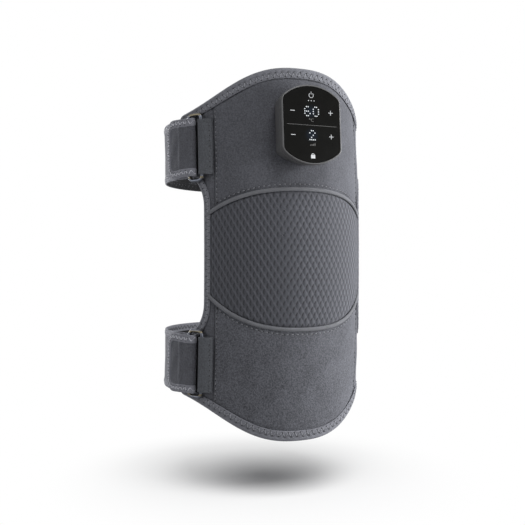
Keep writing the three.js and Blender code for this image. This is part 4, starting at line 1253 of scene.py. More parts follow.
@dataclass
class Cover(Assembly):
    """Cloth panels, knee pad, wings, foam and lining of the wrap."""

    pitch: float = 1.2 * MM
    knit_pitch: float = 0.75 * MM
    lining_pitch: float = 2 * MM
    wing_rows: int = 70
    lining_gap: float = 0.15 * MM
    tuck: float = 0.8 * MM
    seam_gap: float = 0.18 * MM
    seam_dip: float = 1.0 * MM
    seam_width: float = 1.1 * MM
    arc_slot: float = 1.3 * MM
    arc_share: float = 0.8
    pad_dip: float = 1.1 * MM
    pad_width: float = 1.5 * MM
    loaf_height: float = 0.4 * MM
    loaf_power: float = 0.6
    knit_calm: float = 4 * MM
    dent_depth: float = 0.4 * MM
    dent_width: float = 0.9 * MM
    dent_wave: float = 0.35
    hem_dip: float = 0.7 * MM
    hem_place: float = 0.3 * MM
    hem_width: float = 1.1 * MM
    anchor_sink: float = 2.3 * MM
    anchor_from: float = 93 * MM
    anchor_slope: float = 7 * MM
    anchor_half: float = 26.5 * MM
    anchor_rim: float = 3 * MM
    seam_row: float = 2.4 * MM
    arc_row: float = 2.6 * MM
    channel: float = 30 * MM
    channel_dip: float = 0.5 * MM
    channel_width: float = 1.6 * MM
    sunk: float = 0.22 * MM
    eyelets: tuple[tuple[float, float], ...] = (
        (-17.3 * MM, 34.6 * MM), (-18 * MM, 15.2 * MM))
    eyelet_radius: float = 1.15 * MM
    eyelet_wire: float = 0.3 * MM
    eyelet_rise: float = 0.2 * MM
    waves: tuple[tuple[float, float, float, float], ...] = (
        (0.16, 61, 83, 0.4), (0.12, -47, 39, 1.9), (0.08, 29, -33, 4.1))

    def ease(self, girth: Array, height: Array) -> Array:
        """Slight unevenness of padded cloth: long sines of a size, two pitches and a phase."""
        return sum(size * MM * np.sin(2 * math.pi * (
            girth / (across * MM) + height / (along * MM)) + phase)
            for size, across, along, phase in self.waves)

    def stitch_dents(self, beside: Array, along: Array) -> Array:
        """Dimples under a row of stitches: a bell across times a wave along."""
        wave = self.dent_wave * np.cos(2 * math.pi * along / STITCHING.run_pitch)
        return -self.dent_depth * bump(beside, self.dent_width) * (1 - self.dent_wave + wave)

    def tape_dip(self, girth: Array, height: Array) -> Array:
        """Dip of the cloth along the hem of the binding."""
        beyond = self.form.from_edge(girth, height) - self.form.tape_width(height)
        return -self.hem_dip * bump(beyond - self.hem_place, self.hem_width)

    def anchor_dip(self, girth: Array, height: Array) -> Array:
        """Hollow that the sewn end of a strap presses into its wing.

        Args:
            girth: Girth of each point.
            height: Height of each point.

        Returns:
            Lift of the cloth there: a soft step along the strap, a straight one at its edges.
        """
        middle = np.where(height > 0, UPPER_LEVEL, LOWER_LEVEL)
        inside = (self.anchor_half - np.abs(height - middle)) / self.anchor_rim
        along = smooth((girth - self.anchor_from) / self.anchor_slope)
        return -self.anchor_sink * along * np.clip(inside, 0, 1)

    def panel(self, girth: Array, height: Array, lift: Array, depth: Array) -> Skin:
        """Cloth between a lifted face and a back at a depth."""
        face, back = (self.form.place(girth, height, level) for level in (lift, depth))
        return slab(face, back, paired(girth, height))

    def rolled_edge(self, beyond: Array) -> Array:
        """Fall of the cloth into a seam at a distance from it: a bell."""
        return -self.seam_dip * bump(beyond, self.seam_width)

    def add_front_panel(self, end: Side) -> None:
        """Makes a front panel with its rolled seams.

        Args:
            end: End of the wrap that it covers.
        """
        form, lines = self.form, self.form.edges(self.tuck)
        limit = form.seam_girth - self.seam_gap
        columns = spread(-limit, limit, self.pitch)
        low, high = form.arc(columns, end) + self.arc_slot, lines.high(columns)
        girth, height = between(columns, low, high, row_count(low, high, self.pitch))
        from_seam = limit - np.abs(girth)
        from_arc = height - low
        lift = self.ease(girth, end.sign * height) + self.tape_dip(girth, height)
        lift += self.rolled_edge(from_seam) + self.arc_share * self.rolled_edge(from_arc)
        lift += self.stitch_dents(from_seam - self.seam_row, height)
        lift += self.stitch_dents(from_arc - self.arc_row, girth)
        skin = self.panel(girth, end.sign * height, lift, -form.cloth)
        name = f"{end.word}_front_panel"
        finish = "panel_cloth" if end is Side.UPPER else "lower_panel_cloth"
        self.declare(self.add(skin, f"{name}_cloth", finish, "fabric", [name]), girth, height)

    def declare(self, piece: bpy.types.Object, girth: Array, height: Array) -> None:
        """Works out the area of a panel's grid from its cells, and does nothing more with it.

        Args:
            piece: The panel; not used.
            girth: Girth of its grid.
            height: Height of its grid; the cells' areas are sums of cross products.
        """
        x, y = corners(girth), corners(height)
        area = 0.5 * sum(x[k] * y[(k + 1) % 4] - x[(k + 1) % 4] * y[k] for k in range(4))

    def add_knee_pad(self) -> None:
        """Makes the embossed knit pad: crown, lozenges, and an edge that dips at the arcs."""
        form = self.form
        limit = form.waist_girth - self.tuck
        columns = spread(-limit, limit, self.knit_pitch)
        low, high = form.lower_arc(columns) + self.arc_slot, form.upper_arc(columns) - self.arc_slot
        girth, height = between(columns, low, high, row_count(low, high, self.knit_pitch))
        across, along = girth / (DiamondKnit.across * MM), height / (DiamondKnit.along * MM)
        loaf = np.abs(np.sin(math.pi * (across + along)) *
                      np.sin(math.pi * (across - along))) ** self.loaf_power
        from_arc = np.minimum(high - height, height - low)
        swell = form.knee_swell(girth, height)
        lift = swell + self.loaf_height * loaf * np.clip(from_arc / self.knit_calm, 0, 1)
        lift -= self.pad_dip * bump(from_arc, self.pad_width)
        lift += self.tape_dip(girth, height)
        skin = self.panel(girth, height, lift, swell - form.cloth)
        piece = self.add(skin, "knee_pad", "knee_knit", "knit", ["knee_panel"])
        self.declare(piece, girth, height)

    def add_wing(self, end: Side, hand: Side) -> None:
        """Makes one wing, from its seam to the outer edge.

        Args:
            end: End of the wrap that it belongs to.
            hand: Side that it lies on.
        """
        form, lines = self.form, self.form.edges(self.tuck)
        seam = form.seam_girth + self.seam_gap
        share = (1 - np.cos(np.linspace(0, math.pi, 44)[1:])) / 2
        beyond = lines.waist + (lines.reach - lines.waist) * share
        columns = np.concatenate([spread(seam, lines.waist, self.pitch), beyond])
        arc = form.arc(columns, end) + self.arc_slot
        low = np.where(columns <= lines.waist, arc, lines.low(columns))
        girth, height = between(columns, low, lines.high(columns), self.wing_rows)
        x, y = hand.sign * girth, end.sign * height
        lift = self.ease(x, y) + self.tape_dip(girth, height) + self.anchor_dip(x, y)
        lift += self.rolled_edge(girth - seam) + self.arc_share * self.rolled_edge(height - arc)
        name = f"{end.word}_{hand.word}_wing"
        finish = "ring_side_cloth" if hand is Side.LEFT else "panel_cloth"
        piece = self.add(self.panel(x, y, lift, -form.cloth), f"{name}_cloth", finish, "fabric",
                         [name])
        self.declare(piece, girth, height)

    def add_lining(self) -> None:
        """Makes the lining: a middle piece with sewn channels, and the wings' backs."""
        form, lines = self.form, self.form.edges(self.tuck)
        outer = -form.lining_depth
        inner = outer - form.lining
        limit = lines.waist - self.lining_gap
        columns = spread(-limit, limit, self.lining_pitch)
        high = lines.high(columns)
        girth, height = between(columns, -high, high, row_count(-high, high, self.lining_pitch))
        dip = self.channel_dip * bump(np.abs(girth) - self.channel, self.channel_width)
        skin = self.panel(girth, height, outer, inner + dip)
        self.declare(self.add(skin, "lining_middle", "lining_cloth", "lining", ["inner_lining"]),
                     girth, height)
        share = (1 - np.cos(np.linspace(0, math.pi, 30))) / 2
        columns = lines.waist + self.lining_gap + (lines.reach - lines.waist) * share
        columns = np.minimum(columns, lines.reach)
        girth, height = between(columns, lines.low(columns), lines.high(columns), 40)
        for end in ENDS:
            for hand in HANDS:
                skin = self.panel(hand.sign * girth, end.sign * height, outer, inner)
                piece = self.add(skin, f"{end.word}_{hand.word}_lining", "lining_cloth", "lining")
                self.declare(piece, girth, height)

    def add_foam(self) -> None:
        """Makes the foam pad from a merged copy of its node, which keeps its pockets."""
        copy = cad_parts["foam_core"].data.copy()
        copy.name = "foam_pad"
        obj = stand("foam_pad", copy)
        merge = obj.modifiers.new("merge", "WELD")
        merge.merge_threshold = 0.01 * MM
        copy.materials.clear()
        copy.materials.append(self.palette["grey_foam"])
        settle(obj, Body.WRAP, ["foam_core"])

    def add_seam_stitches(self) -> None:
        """Sews the rows beside the vertical seams, along the arcs and the lining's channels."""
        form, lines = self.form, self.form.edges(self.tuck)
        limit = form.seam_girth
        for end in ENDS:
            first, last = float(form.arc(limit, end)) + 5 * MM, float(lines.high(limit)) - 7 * MM
            for hand in HANDS:
                height = spread(first, last, 2 * MM)
                self.sew(f"{end.word}_{hand.word}_seam", hand.sign * (limit - self.seam_row),
                         end.sign * height)
            girth = spread(-limit + 3 * MM, limit - 3 * MM, 2 * MM)
            height = form.arc(girth, end) + self.arc_slot + self.arc_row
            self.sew(f"{end.word}_arc", girth, end.sign * height, thread="panel_thread")
        for hand in HANDS:
            self.sew(f"{hand.word}_channel", hand.sign * self.channel,
                     spread(-118 * MM, 118 * MM, 3 * MM),
                     -form.lining_depth - form.lining + 0.45 * MM, -1)

    def sew(self, name: str, girth: Array, height: Array, lift: float = 0.0, face: int = 1,
            thread: str = "seam_thread") -> None:
        """Sews a row of running stitches on the cloth; face is -1 on the leg's side."""
        path = self.form.place(girth, height, lift - self.sunk * face)
        self.add_row(name, path, face * (self.form.place(girth, height, lift + MM) - path), thread)

    def add_eyelets(self) -> None:
        """Makes the two small breathing eyelets in the knee pad: rings of round section."""
        rim, section = circle(whole_turn(20)), self.eyelet_wire * circle(whole_turn(8))
        reach = self.eyelet_radius + section[:, 0]
        for number, (girth, height) in enumerate(self.eyelets, 1):
            across, along = girth + rim[:, :1] * reach, height + rim[:, 1:] * reach
            lift = self.form.knee_swell(across, along) + self.eyelet_rise + section[:, 1]
            skin = tube(self.form.place(across, along, lift), is_loop=True)
            self.add(skin, f"eyelet_{number}", "knee_knit", "knit")

    def build(self) -> None:
        """Makes every piece of the cover."""
        self.add_foam()
        for end in ENDS:
            self.add_front_panel(end)
        self.add_knee_pad()
        for end in ENDS:
            for hand in HANDS:
                self.add_wing(end, hand)
        self.add_lining()
        self.add_seam_stitches()
        self.add_eyelets()


@dataclass
class Trim(Assembly):
    """Binding tape folded round the outline, and the pipings along the two arcs."""

    pitch: float = 1.1 * MM
    front: float = 0.8 * MM
    back: float = -9.5 * MM
    fold: float = 1.9 * MM
    edge_bulge: float = 0.12 * MM
    face_section: tuple[tuple[float, float], ...] = (
        (6.8, -0.1), (6.8, 0.35), (6.6, 0.62), (6.1, 0.8), (5.2, 0.86), (4.3, 0.8), (3.6, 0.7),
        (3.0, 0.7), (2.5, 0.78))
    inside_section: tuple[tuple[float, float], ...] = ((6.4, -0.1), (0.8, 0.0), (0.6, -0.15))
    pucker: float = 0.6 * MM
    pucker_place: float = 2.9 * MM
    pucker_width: float = 0.8 * MM
    hem: float = 0.25 * MM
    hem_place: float = 6.4 * MM
    hem_width: float = 0.6 * MM
    sunk: float = 0.12 * MM
    roll: float = 1.6 * MM
    roll_flat: float = 0.7
    roll_lift: float = 0.1 * MM
    roll_pitch: float = 1.2 * MM
    roll_short: float = 4 * MM

    def inset_line(self, inset: float) -> Array:
        """Line at an inset from the outline, further inwards where the tape is broader.

        Args:
            inset: Distance from the edge where the tape has its plain width.

        Returns:
            Points (n, 2) of girth and height.
        """
        loop = self.form.outline(self.pitch)
        step = self.form.outline(self.pitch, MM) - loop
        reach = inset * self.form.tape_width(loop[:, 1]) / self.form.tape
        return loop + step * (reach / MM)[:, None]

    def mirrored(self, section: Array) -> Array:
        """The same section on the tape's other side, in the reverse order."""
        return np.stack([section[:, 0], self.front + self.back - section[:, 1]], axis=1)[::-1]

    def profile(self) -> Array:
        """Section of the folded tape, as (inset, lift), from its front hem round to its back.

        Returns:
            Points (n, 2) of a closed section.
        """
        corner = np.array([self.fold, self.front - self.fold]) + self.fold * circle(
            np.linspace(math.pi / 2, math.pi, 6))
        front = np.concatenate([np.array(self.face_section) * MM, corner])
        edge = np.array([[-self.edge_bulge, (self.front + self.back) / 2]])
        inside = np.array(self.inside_section) * MM
        return np.concatenate([front, edge, self.mirrored(front), self.mirrored(inside)[::-1],
                               inside[::-1]])

    def add_binding(self) -> None:
        """Sweeps the tape round the outline, puckered where the zigzag pulls it down."""
        profile = self.profile()
        loop = self.form.outline(self.pitch)
        length = run_length(closed(loop))
        along, total = length[:-1], float(length[-1])
        count = round(total / STITCHING.zigzag_pitch)
        wave = 0.5 + 0.5 * np.cos(2 * math.pi * count * along / total)
        rings = np.empty((len(loop), len(profile), 3))
        for column, (inset, lift) in enumerate(profile):
            ring = self.inset_line(inset)
            is_face = inset > self.fold and (lift > 0.2 * MM or lift < self.back + 0.5 * MM)
            dent = self.pucker * bump(inset - self.pucker_place, self.pucker_width) * wave
            hem = self.hem * bump(inset - self.hem_place, self.hem_width) * (1 - wave)
            fall = (dent + hem) * is_face * (1 if lift > (self.front + self.back) / 2 else -1)
            rings[:, column] = self.form.place(ring[:, 0], ring[:, 1], lift - fall)
        tape = self.add(tube(rings, is_loop=True), "edge_tape", "binding_tape", "binding",
                        ["edge_binding"])
        stitches = [self.add_zigzag("front", count, self.front - self.sunk, 1),
                    self.add_zigzag("back", count, self.back + self.sunk, -1)]

    def add_zigzag(self, word: str, count: int, lift: float, face: int) -> bpy.types.Object:
        """Sews the zigzag along one side of the binding, with the painted shade of its needle
        holes.

        Args:
            word: Name of that side.
            count: Zigzags round the whole outline.
            lift: Lift of the thread.
            face: 1 on the outside, -1 on the leg's side.

        Returns:
            The row of zigzag.
        """
        sides = []
        for inset in (STITCHING.zigzag_near, STITCHING.zigzag_far):
            loop = closed(self.inset_line(inset))
            rank = np.linspace(0, len(loop) - 1, 2 * count + 1)
            sides.append(sample(rank, np.arange(len(loop)), loop))
        near, far = (self.form.place(*side.T, lift) for side in sides)
        out = face * unit(self.form.place(*sides[0].T, lift + MM) - near)
        # Painted shade of the needle holes beside the zigzag.
        spots = by_turns(0.95 * near + 0.05 * far, 0.1 * near + 0.9 * far)
        self.add(STITCHING.hole_shadows(spots, far - near, out), f"binding_{word}_holes", "needle_holes",
                 "black")
        return self.add(STITCHING.zigzag(near, far, out), f"binding_{word}_zigzag",
                        "binding_thread", "binding")

    def add_piping(self, end: Side) -> None:
        """Rolls one piping along its arc: an oval swept along the curve.

        Args:
            end: End of the wrap that the arc is at.
        """
        limit = self.form.waist_girth - self.roll_short
        girth = spread(-limit, limit, self.roll_pitch)
        arc = end.sign * self.form.arc(girth, end)
        slope = np.gradient(arc, girth)
        length = np.hypot(slope, 1)
        across, rise = (self.roll * circle(whole_turn(16))).T
        rings = self.form.place(girth[:, None] - across * (slope / length)[:, None],
                                arc[:, None] + across / length[:, None],
                                self.roll_lift + self.roll_flat * rise)
        self.add(tube(rings), f"{end.word}_piping_roll", "piping_tape", "binding",
                 [f"{end.word}_piping"])

    def build(self) -> None:
        """Makes the binding and both pipings."""
        self.add_binding()
        for end in ENDS:
            self.add_piping(end)


# Rings, tabs and straps


@dataclass
class Course:
    """Middle line of a strap or tab in a level section, on which cloth is laid."""

    form: WrapForm
    points: Array
    turn_side: int = 1
    level: float = 0.0
    fold: float = 0.0
    squeeze: float = 0.0
    squeeze_width: float = 14 * MM

    def __post_init__(self) -> None:
        """Works out lengths and the directions across the cloth."""
        self.length = run_length(self.points)
        along = unit(np.gradient(self.points, self.length, axis=0))
        self.normals = self.turn_side * right_of(along)

    def lay(self, along: Array, height: Array, depth: Array) -> Array:
        """Places flat cloth: along the line, at a height, a depth off the line.

        Args:
            along: Length along the middle line.
            height: Height above the middle of the wrap.
            depth: Distance off the line.

        Returns:
            Points with a last axis of x, y, z.
        """
        along, height, depth = np.broadcast_arrays(along, height, depth)
        narrow = 1 - self.squeeze * bump(along - self.fold, self.squeeze_width)
        height = self.level + (height - self.level) * narrow
        x, y, nx, ny = (np.interp(along, self.length, column) for column in (
            *self.points.T, *self.normals.T))
        return np.stack([x + depth * nx, self.form.setback(height) + y + depth * ny, height],
                        axis=-1)


def polar(angle: Array, radius: Array) -> Array:
    """Section points at angles round the leg, from the front, at radii."""
    angle, radius = np.broadcast_arrays(angle, radius)
    return np.stack([radius * np.sin(angle), -radius * np.cos(angle)], axis=-1)


@dataclass
class StrapSet(Assembly):
    """Ring, tab, strap run, fold and flap at one end of the wrap."""

    end: Side
    height: float
    wire: float = 1.4 * MM
    bar_spacing: float = 12.2 * MM
    bar_length: float = 54.2 * MM
    ring_corner: float = 3.5 * MM
    ring_angle: float = math.radians(57.7)
    inner_bar: float = 86.7 * MM
    outer_bar: float = 88.3 * MM
    tab_cloth: float = 0.8 * MM
    tab_width: float = 45 * MM
    tab_row: float = 1.9 * MM
    tab_inset: float = 1.2 * MM
    tab_hem: float = 0.22 * MM
    tab_hem_place: float = 1.2 * MM
    tab_groove: float = 0.12 * MM
    tab_groove_place: float = 3.4 * MM
    tab_groove_width: float = 0.5 * MM
    tab_rib: float = 0.03 * MM
    tab_rib_pitch: float = 2.2 * MM
    tab_rib_from: float = 3 * MM
    width: float = 50 * MM
    thickness: float = 1.6 * MM
    web: float = 1.2 * MM
    edge: float = 7 * MM
    low_radius: float = 85.1 * MM
    back_radius: float = 86.1 * MM
    sewn: float = math.radians(69)
    sink: float = 2.3 * MM
    sunk_to: float = math.radians(76.5)
    sunk_fade: float = math.radians(4)
    lift_from: float = math.radians(72)
    lift_to: float = math.radians(80.1)
    fold_inner: float = 1.6 * MM
    fold_reach: float = 3.8 * MM
    fold_tail: float = 3 * MM
    flap_root: float = 1.2 * MM
    flap_end: float = math.radians(85.2)
    flap_corner: float = 12 * MM
    crease: float = 0.6 * MM
    crease_place: float = 8.6 * MM
    crease_width: float = 2.2 * MM
    squeeze: float = 0.045
    lead: float = 20 * MM
    hinge: float = 8 * MM
    near: float = 1.7 * MM
    far: float = 5.2 * MM
    sunk_thread: float = 0.1 * MM
    under_edge: float = 0.6 * MM
    box: tuple[float, float] = (2 * MM, 16 * MM)
    box_inset: float = 1.5 * MM

    @property
    def level(self) -> str:
        """Word that the names of the pieces begin with."""
        return self.end.word

    @property
    def bodies(self) -> tuple[Body, Body]:
        """Bodies of the ring and of the flap."""
        return Body(f"{self.level}_ring_body"), Body(f"{self.level}_flap_body")

    @property
    def outer_angle(self) -> float:
        """Angle of the ring's outer bar, by the cosine rule on both bars."""
        inner, outer = self.inner_bar, self.outer_bar
        step = math.acos((inner ** 2 + outer ** 2 - self.bar_spacing ** 2) / (2 * inner * outer))
        return -self.ring_angle - step

    def past_bar(self, length: Array) -> Array:
        """Angle of a length past the outer bar, towards the front."""
        return self.outer_angle + length / self.outer_bar

    def ring_axes(self) -> tuple[Array, Array, Array, Array]:
        """Middle of the inner bar, and the ring's directions across, up and out."""
        inner = self.form.place(-self.ring_angle * self.form.radius, self.height,
                                self.inner_bar - self.form.radius)
        outer = self.form.place(self.outer_angle * self.form.radius, self.height,
                                self.outer_bar - self.form.radius)
        up = self.form.up(self.height)
        across = inner - outer
        across = unit(across - up * (up @ across))
        return inner, across, up, np.cross(across, up)

    def add_ring(self) -> None:
        """Bends the wire into a rounded rectangle: a circle swept round four quarter turns."""
        origin, across, up, out = self.ring_axes()
        half, corner = self.bar_length / 2, self.ring_corner
        left = corner - self.bar_spacing
        centres = ((-corner, half - corner), (left, half - corner), (left, corner - half),
                   (-corner, corner - half))
        outward = circle(math.pi / 2 * (np.arange(4)[:, None] + np.linspace(0, 1, 9)))
        middle = (np.array(centres)[:, None] + corner * outward).reshape(-1, 1, 2)
        section = self.wire * circle(whole_turn(20))
        flat = middle + section[:, :1] * outward.reshape(-1, 1, 2)
        rings = origin + flat[..., :1] * across + flat[..., 1:] * up + section[:, 1:] * out
        self.add(tube(rings, is_loop=True), f"{self.level}_ring_wire", "gunmetal_plate",
                 "gunmetal", [f"{self.level}_ring"], self.bodies[0])

    def tab_course(self) -> Course:
        """Middle line of the tab: out from the seam, round the inner bar, and back over it."""
        bar = polar(-self.ring_angle, self.inner_bar)
        radius = self.wire + 0.5 * MM + self.tab_cloth / 2
        seam = -self.form.seam_girth / self.form.radius - math.radians(0.25)
        base = self.form.radius + 0.3 * MM + self.tab_cloth / 2
        under = polar(np.linspace(seam, -self.ring_angle, 12),
                      np.linspace(base, self.inner_bar - radius, 12))
        loop = bar + radius * polar(-self.ring_angle + np.linspace(-math.pi, -0.12, 26), 1.0)
        top = self.inner_bar + radius
        share = np.linspace(0, 1, 14)[1:]
        over = polar(np.linspace(-self.ring_angle + 0.018, seam, 14)[1:],
                     top + (base + self.tab_cloth + 0.05 * MM - top) *
                     (share ** 1.4) * (1 - 0.12 * np.sin(math.pi * share)))
        return Course(self.form, evenly(np.concatenate([under, loop[1:-1], over]), 0.35 * MM))

    def add_tab(self) -> None:
        """Folds the tab round the inner bar, both its ends sewn into the seam."""
        course = self.tab_course()
        half = self.tab_width / 2
        across = spread(-half, half, 0.8 * MM)
        along = course.length[None, :]
        from_end = (half - np.abs(across))[:, None]
        hem = self.tab_hem * bump(from_end - self.tab_hem_place, self.tab_hem_place)
        hem -= self.tab_groove * bump(from_end - self.tab_groove_place, self.tab_groove_width)
        ribs = self.tab_rib * np.cos(2 * math.pi * along / self.tab_rib_pitch) * (
            from_end > self.tab_rib_from)
        height = self.height + across[:, None]
        face = self.tab_cloth / 2
        skin = slab(course.lay(along, height, face + hem + ribs),
                    course.lay(along, height, -face), paired(along, height))
        name = f"{self.level}_ring_tab"
        piece = self.add(skin, f"{name}_cloth", "tab_cloth", "fabric", [name])
        end = half - self.tab_inset
        rows = self.height + spread(-end, end, 0.8 * MM)
        beside = course.length[-1] - self.tab_row
        path = course.lay(beside, rows, face - 0.2 * MM)
        self.add_row(name, path, course.lay(beside, rows, face + MM) - path, "tape_thread")

    def run_radius(self, angle: Array) -> Array:
        """Middle of the strap's run: pressed in at its sewn end, low over both wings.

        Args:
            angle: Angle round the leg, from the front.

        Returns:
            Radius of the strap's middle, with a soft step between the heights.
        """
        turn = np.minimum(angle, 2 * math.pi - angle)
        rise = smooth((turn - self.lift_from) / (self.lift_to - self.lift_from))
        low = self.low_radius + (self.back_radius - self.low_radius) * rise
        sunk = smooth((self.sunk_to - angle) / self.sunk_fade)
        return low + self.thickness / 2 - self.sink * sunk

    def course(self) -> tuple[Course, dict[str, float]]:
        """Middle line of the whole strap, and the lengths at which its parts begin.

        Returns:
            The line, and a length for each of lead, fold, flap, hinge and end.
        """
        angles = np.linspace(self.sewn, 2 * math.pi + float(self.past_bar(-self.fold_tail)), 330)
        run = polar(angles, self.run_radius(angles))
        middle = self.fold_inner + self.thickness / 2
        share = np.linspace(0, 1, 9)[1:-1]
        under = polar(self.past_bar(-self.fold_tail + share * (self.fold_tail + self.fold_reach)),
                      self.outer_bar - middle)
        turn = np.linspace(-math.pi / 2, math.pi / 2, 17)
        nose = polar(self.past_bar(self.fold_reach + middle * np.cos(turn)),
                     self.outer_bar + middle * np.sin(turn))
        share = np.linspace(0, 1, 7)[1:]
        back = polar(self.past_bar(self.fold_reach + share * (self.flap_root - self.fold_reach)),
                     self.outer_bar + middle)
        angles = np.linspace(float(self.past_bar(self.flap_root)), -self.flap_end, 40)[1:]
        past = (angles[0] - angles) * self.outer_bar
        crease = self.crease * bump(past - self.crease_place, self.crease_width)
        parts = [run, under, nose, back, polar(angles, self.outer_bar + middle + crease)]
        line = np.concatenate(parts)
        length = run_length(line)
        counts = np.cumsum([len(part) for part in parts])
        fold, root = float(length[counts[0] - 1]), float(length[counts[3] - 1])
        marks = {"lead": fold - self.lead, "fold": fold, "flap": root,
                 "hinge": root + self.hinge, "end": float(length[-1])}
        return Course(self.form, line, turn_side=-1, level=self.height, fold=root,
                      squeeze=self.squeeze), marks

    def edge_profile(self) -> Array:
        """Section of a bound edge: a rounded bead at the rim, thin where the web goes in.

        Returns:
            Points (n, 2): distance in from the rim, and depth.
        """
        half, far = self.thickness / 2, self.edge
        rim = np.array([half, 0]) + half * circle(np.linspace(math.pi / 2, 3 * math.pi / 2, 9))
        top = np.array([[far, half - 0.35 * MM], [far - 0.2 * MM, half - 0.08 * MM],
                        [far - 0.9 * MM, half], [4.2 * MM, half - 0.06 * MM],
                        [2.6 * MM, half - 0.02 * MM]])
        return np.concatenate([top, rim, top[::-1] * [1, -1]])

    def add_web(self, name: str, course: Course, along: Array, across: Array,
                wave: tuple[float, float, float]) -> bpy.types.Object:
        """Makes a web: cloth that waves slightly, as a sine along and across.

        Args:
            name: Name that the piece begins with.
            course: Middle line of the strap.
            along: Length of each point.
            across: Its distance above the strap's middle.
            wave: Size of the waves, and their pitch along and across.

        Returns:
            The web.
        """
        size, pitch_along, pitch_across = wave
        rise = size * np.sin(2 * math.pi * (along / pitch_along + across / pitch_across))
        height = self.height + across
        skin = slab(course.lay(along, height, rise + self.web / 2),
                    course.lay(along, height, rise - self.web / 2), paired(along, height))
        return skin.piece(f"{name}_web", self.palette["strap_cloth"])

    def add_band(self, name: str, start: float, end: float, pitch: float,
                 course: Course, inner_thread: str = "tape_thread") -> list[bpy.types.Object]:
        """Makes the web and both bound edges of one stretch of the strap.

        Args:
            name: Name that the pieces begin with.
            start: Length where the stretch begins.
            end: Length where it ends.
            pitch: Wanted spacing along it.
            course: Middle line of the strap.
            inner_thread: Finish of the zigzags on the side of the leg.

        Returns:
            Web, bottom edge, top edge and the four rows of zigzag.
        """
        along = spread(start, end, pitch)
        half_web = self.web_width / 2
        across = spread(-half_web, half_web, 1.6 * MM)[:, None]
        pieces = [self.add_web(name, course, along[None, :], across,
                               (0.1 * MM, 23 * MM, 31 * MM))]
        inset, depth = self.edge_profile().T
        steps = spread(start + 0.8 * MM, end - 0.8 * MM, STITCHING.zigzag_pitch / 2)
        for word, side in (("bottom", -1), ("top", 1)):
            rim = self.height + side * self.width / 2
            skin = tube(course.lay(along[:, None], rim - side * inset, depth))
            pieces.append(skin.piece(f"{name}_{word}_edge", self.palette["strap_tape"]))
            for face, facing, thread in ((1, "inner", inner_thread), (-1, "outer", "pale_thread")):
                level = face * (self.thickness / 2 - self.sunk_thread)
                near, far, under, over = (course.lay(steps, rim - side * reach, lift)
                                          for reach, lift in ((self.near, level), (self.far, level),
                                                              (0, level), (0, 2 * level)))
                rows = STITCHING.zigzag(near, far, unit(over - under))
                pieces.append(rows.piece(f"{name}_{word}_{facing}_zigzag", self.palette[thread]))
        return pieces

    @property
    def web_width(self) -> float:
        """Width of the web, whose rims lie inside the bound edges."""
        return self.width - 2 * (self.edge - self.under_edge)

    def declare(self, pieces: list[bpy.types.Object], length: float, rests_on: list[str]) -> None:
        """Takes a stretch, its length and what it rests on, and does nothing with them."""

    def add_flap(self, course: Course, root: float, end: float) -> list[bpy.types.Object]:
        """Makes the flap: web, bound edge round its rounded end, and zigzags on both faces.

        Args:
            course: Middle line of the strap.
            root: Length where the flap begins.
            end: Length where it ends.

        Returns:
            Web, edge and rows of zigzag.
        """
        half, corner = self.width / 2, self.flap_corner
        rounded = np.array([end - corner, half - corner]) + corner * circle(
            np.linspace(math.pi / 2, 0, 12))
        upper = np.concatenate([[[root, half]], rounded])
        outline = evenly(np.concatenate([upper, upper[::-1] * [1, -1]]), 0.9 * MM)
        inward = unit(right_of(np.gradient(outline, axis=0)))
        inset, depth = self.edge_profile().T
        flat = outline[:, None] + inset[:, None] * inward[:, None]
        rings = course.lay(flat[..., 0], self.height + flat[..., 1], depth)
        edge = tube(rings).piece(f"{self.level}_flap_binding", self.palette["strap_tape"])
        rim = self.edge - self.under_edge
        along = spread(root, end - rim, 0.9 * MM)
        past = np.clip(along - (end - corner), 0, None) / (corner - rim)
        limit = half - rim - (corner - rim) * (1 - np.sqrt(np.clip(1 - past ** 2, 0, 1)))
        across = np.linspace(-1, 1, 26)[:, None] * limit
        web = self.add_web(f"{self.level}_flap", course, np.broadcast_to(along, across.shape),
                           across, (0.12 * MM, 17 * MM, 29 * MM))
        rows = []
        count = round(float(run_length(outline)[-1]) / STITCHING.zigzag_pitch)
        rank = np.linspace(0, len(outline) - 1, 2 * count + 1)
        places = [sample(rank, np.arange(len(outline)), outline + reach * inward)
                  for reach in (self.near, self.far)]
        for face, facing in ((1, "outer"), (-1, "inner")):
            level = face * (self.thickness / 2 - self.sunk_thread)
            near, far = (course.lay(x, self.height + y, level) for x, y in (p.T for p in places))
            x, y = places[1].T
            out = unit(course.lay(x, self.height + y, 2 * level) - far)
            skin = STITCHING.zigzag(near, far, out)
            rows.append(skin.piece(f"{self.level}_flap_{facing}_zigzag",
                                   self.palette["pale_thread"]))
            if facing == "outer":
                # Painted shade of the needle holes on the outer face.
                spots = by_turns(near + 0.15 * (far - near), far - 0.05 * (far - near))
                hole_shadows = STITCHING.hole_shadows(spots, far - near, out)
                rows.append(hole_shadows.piece(f"{self.level}_flap_holes", self.palette["needle_holes"]))
        return [web, edge, *rows]

    def darken_inside(self, piece: bpy.types.Object) -> None:
        """Gives the faces towards the leg a near-black cloth: the pile's dark tone, with painted
        shade inside the loop.

        Args:
            piece: A web or edge of the strap's run.
        """
        piece.data.materials.append(self.palette["dark_pile_and_shade"])
        polygons = piece.data.polygons
        normals, centres = np.empty((2, 3 * len(polygons)))
        polygons.foreach_get("normal", normals)
        polygons.foreach_get("center", centres)
        outward = centres.reshape(-1, 3)[:, :2] - [0, float(self.form.setback(self.height))]
        inward = np.sum(normals.reshape(-1, 3)[:, :2] * unit(outward), axis=1) < -0.6
        polygons.foreach_set("material_index", inward.astype(np.int32))

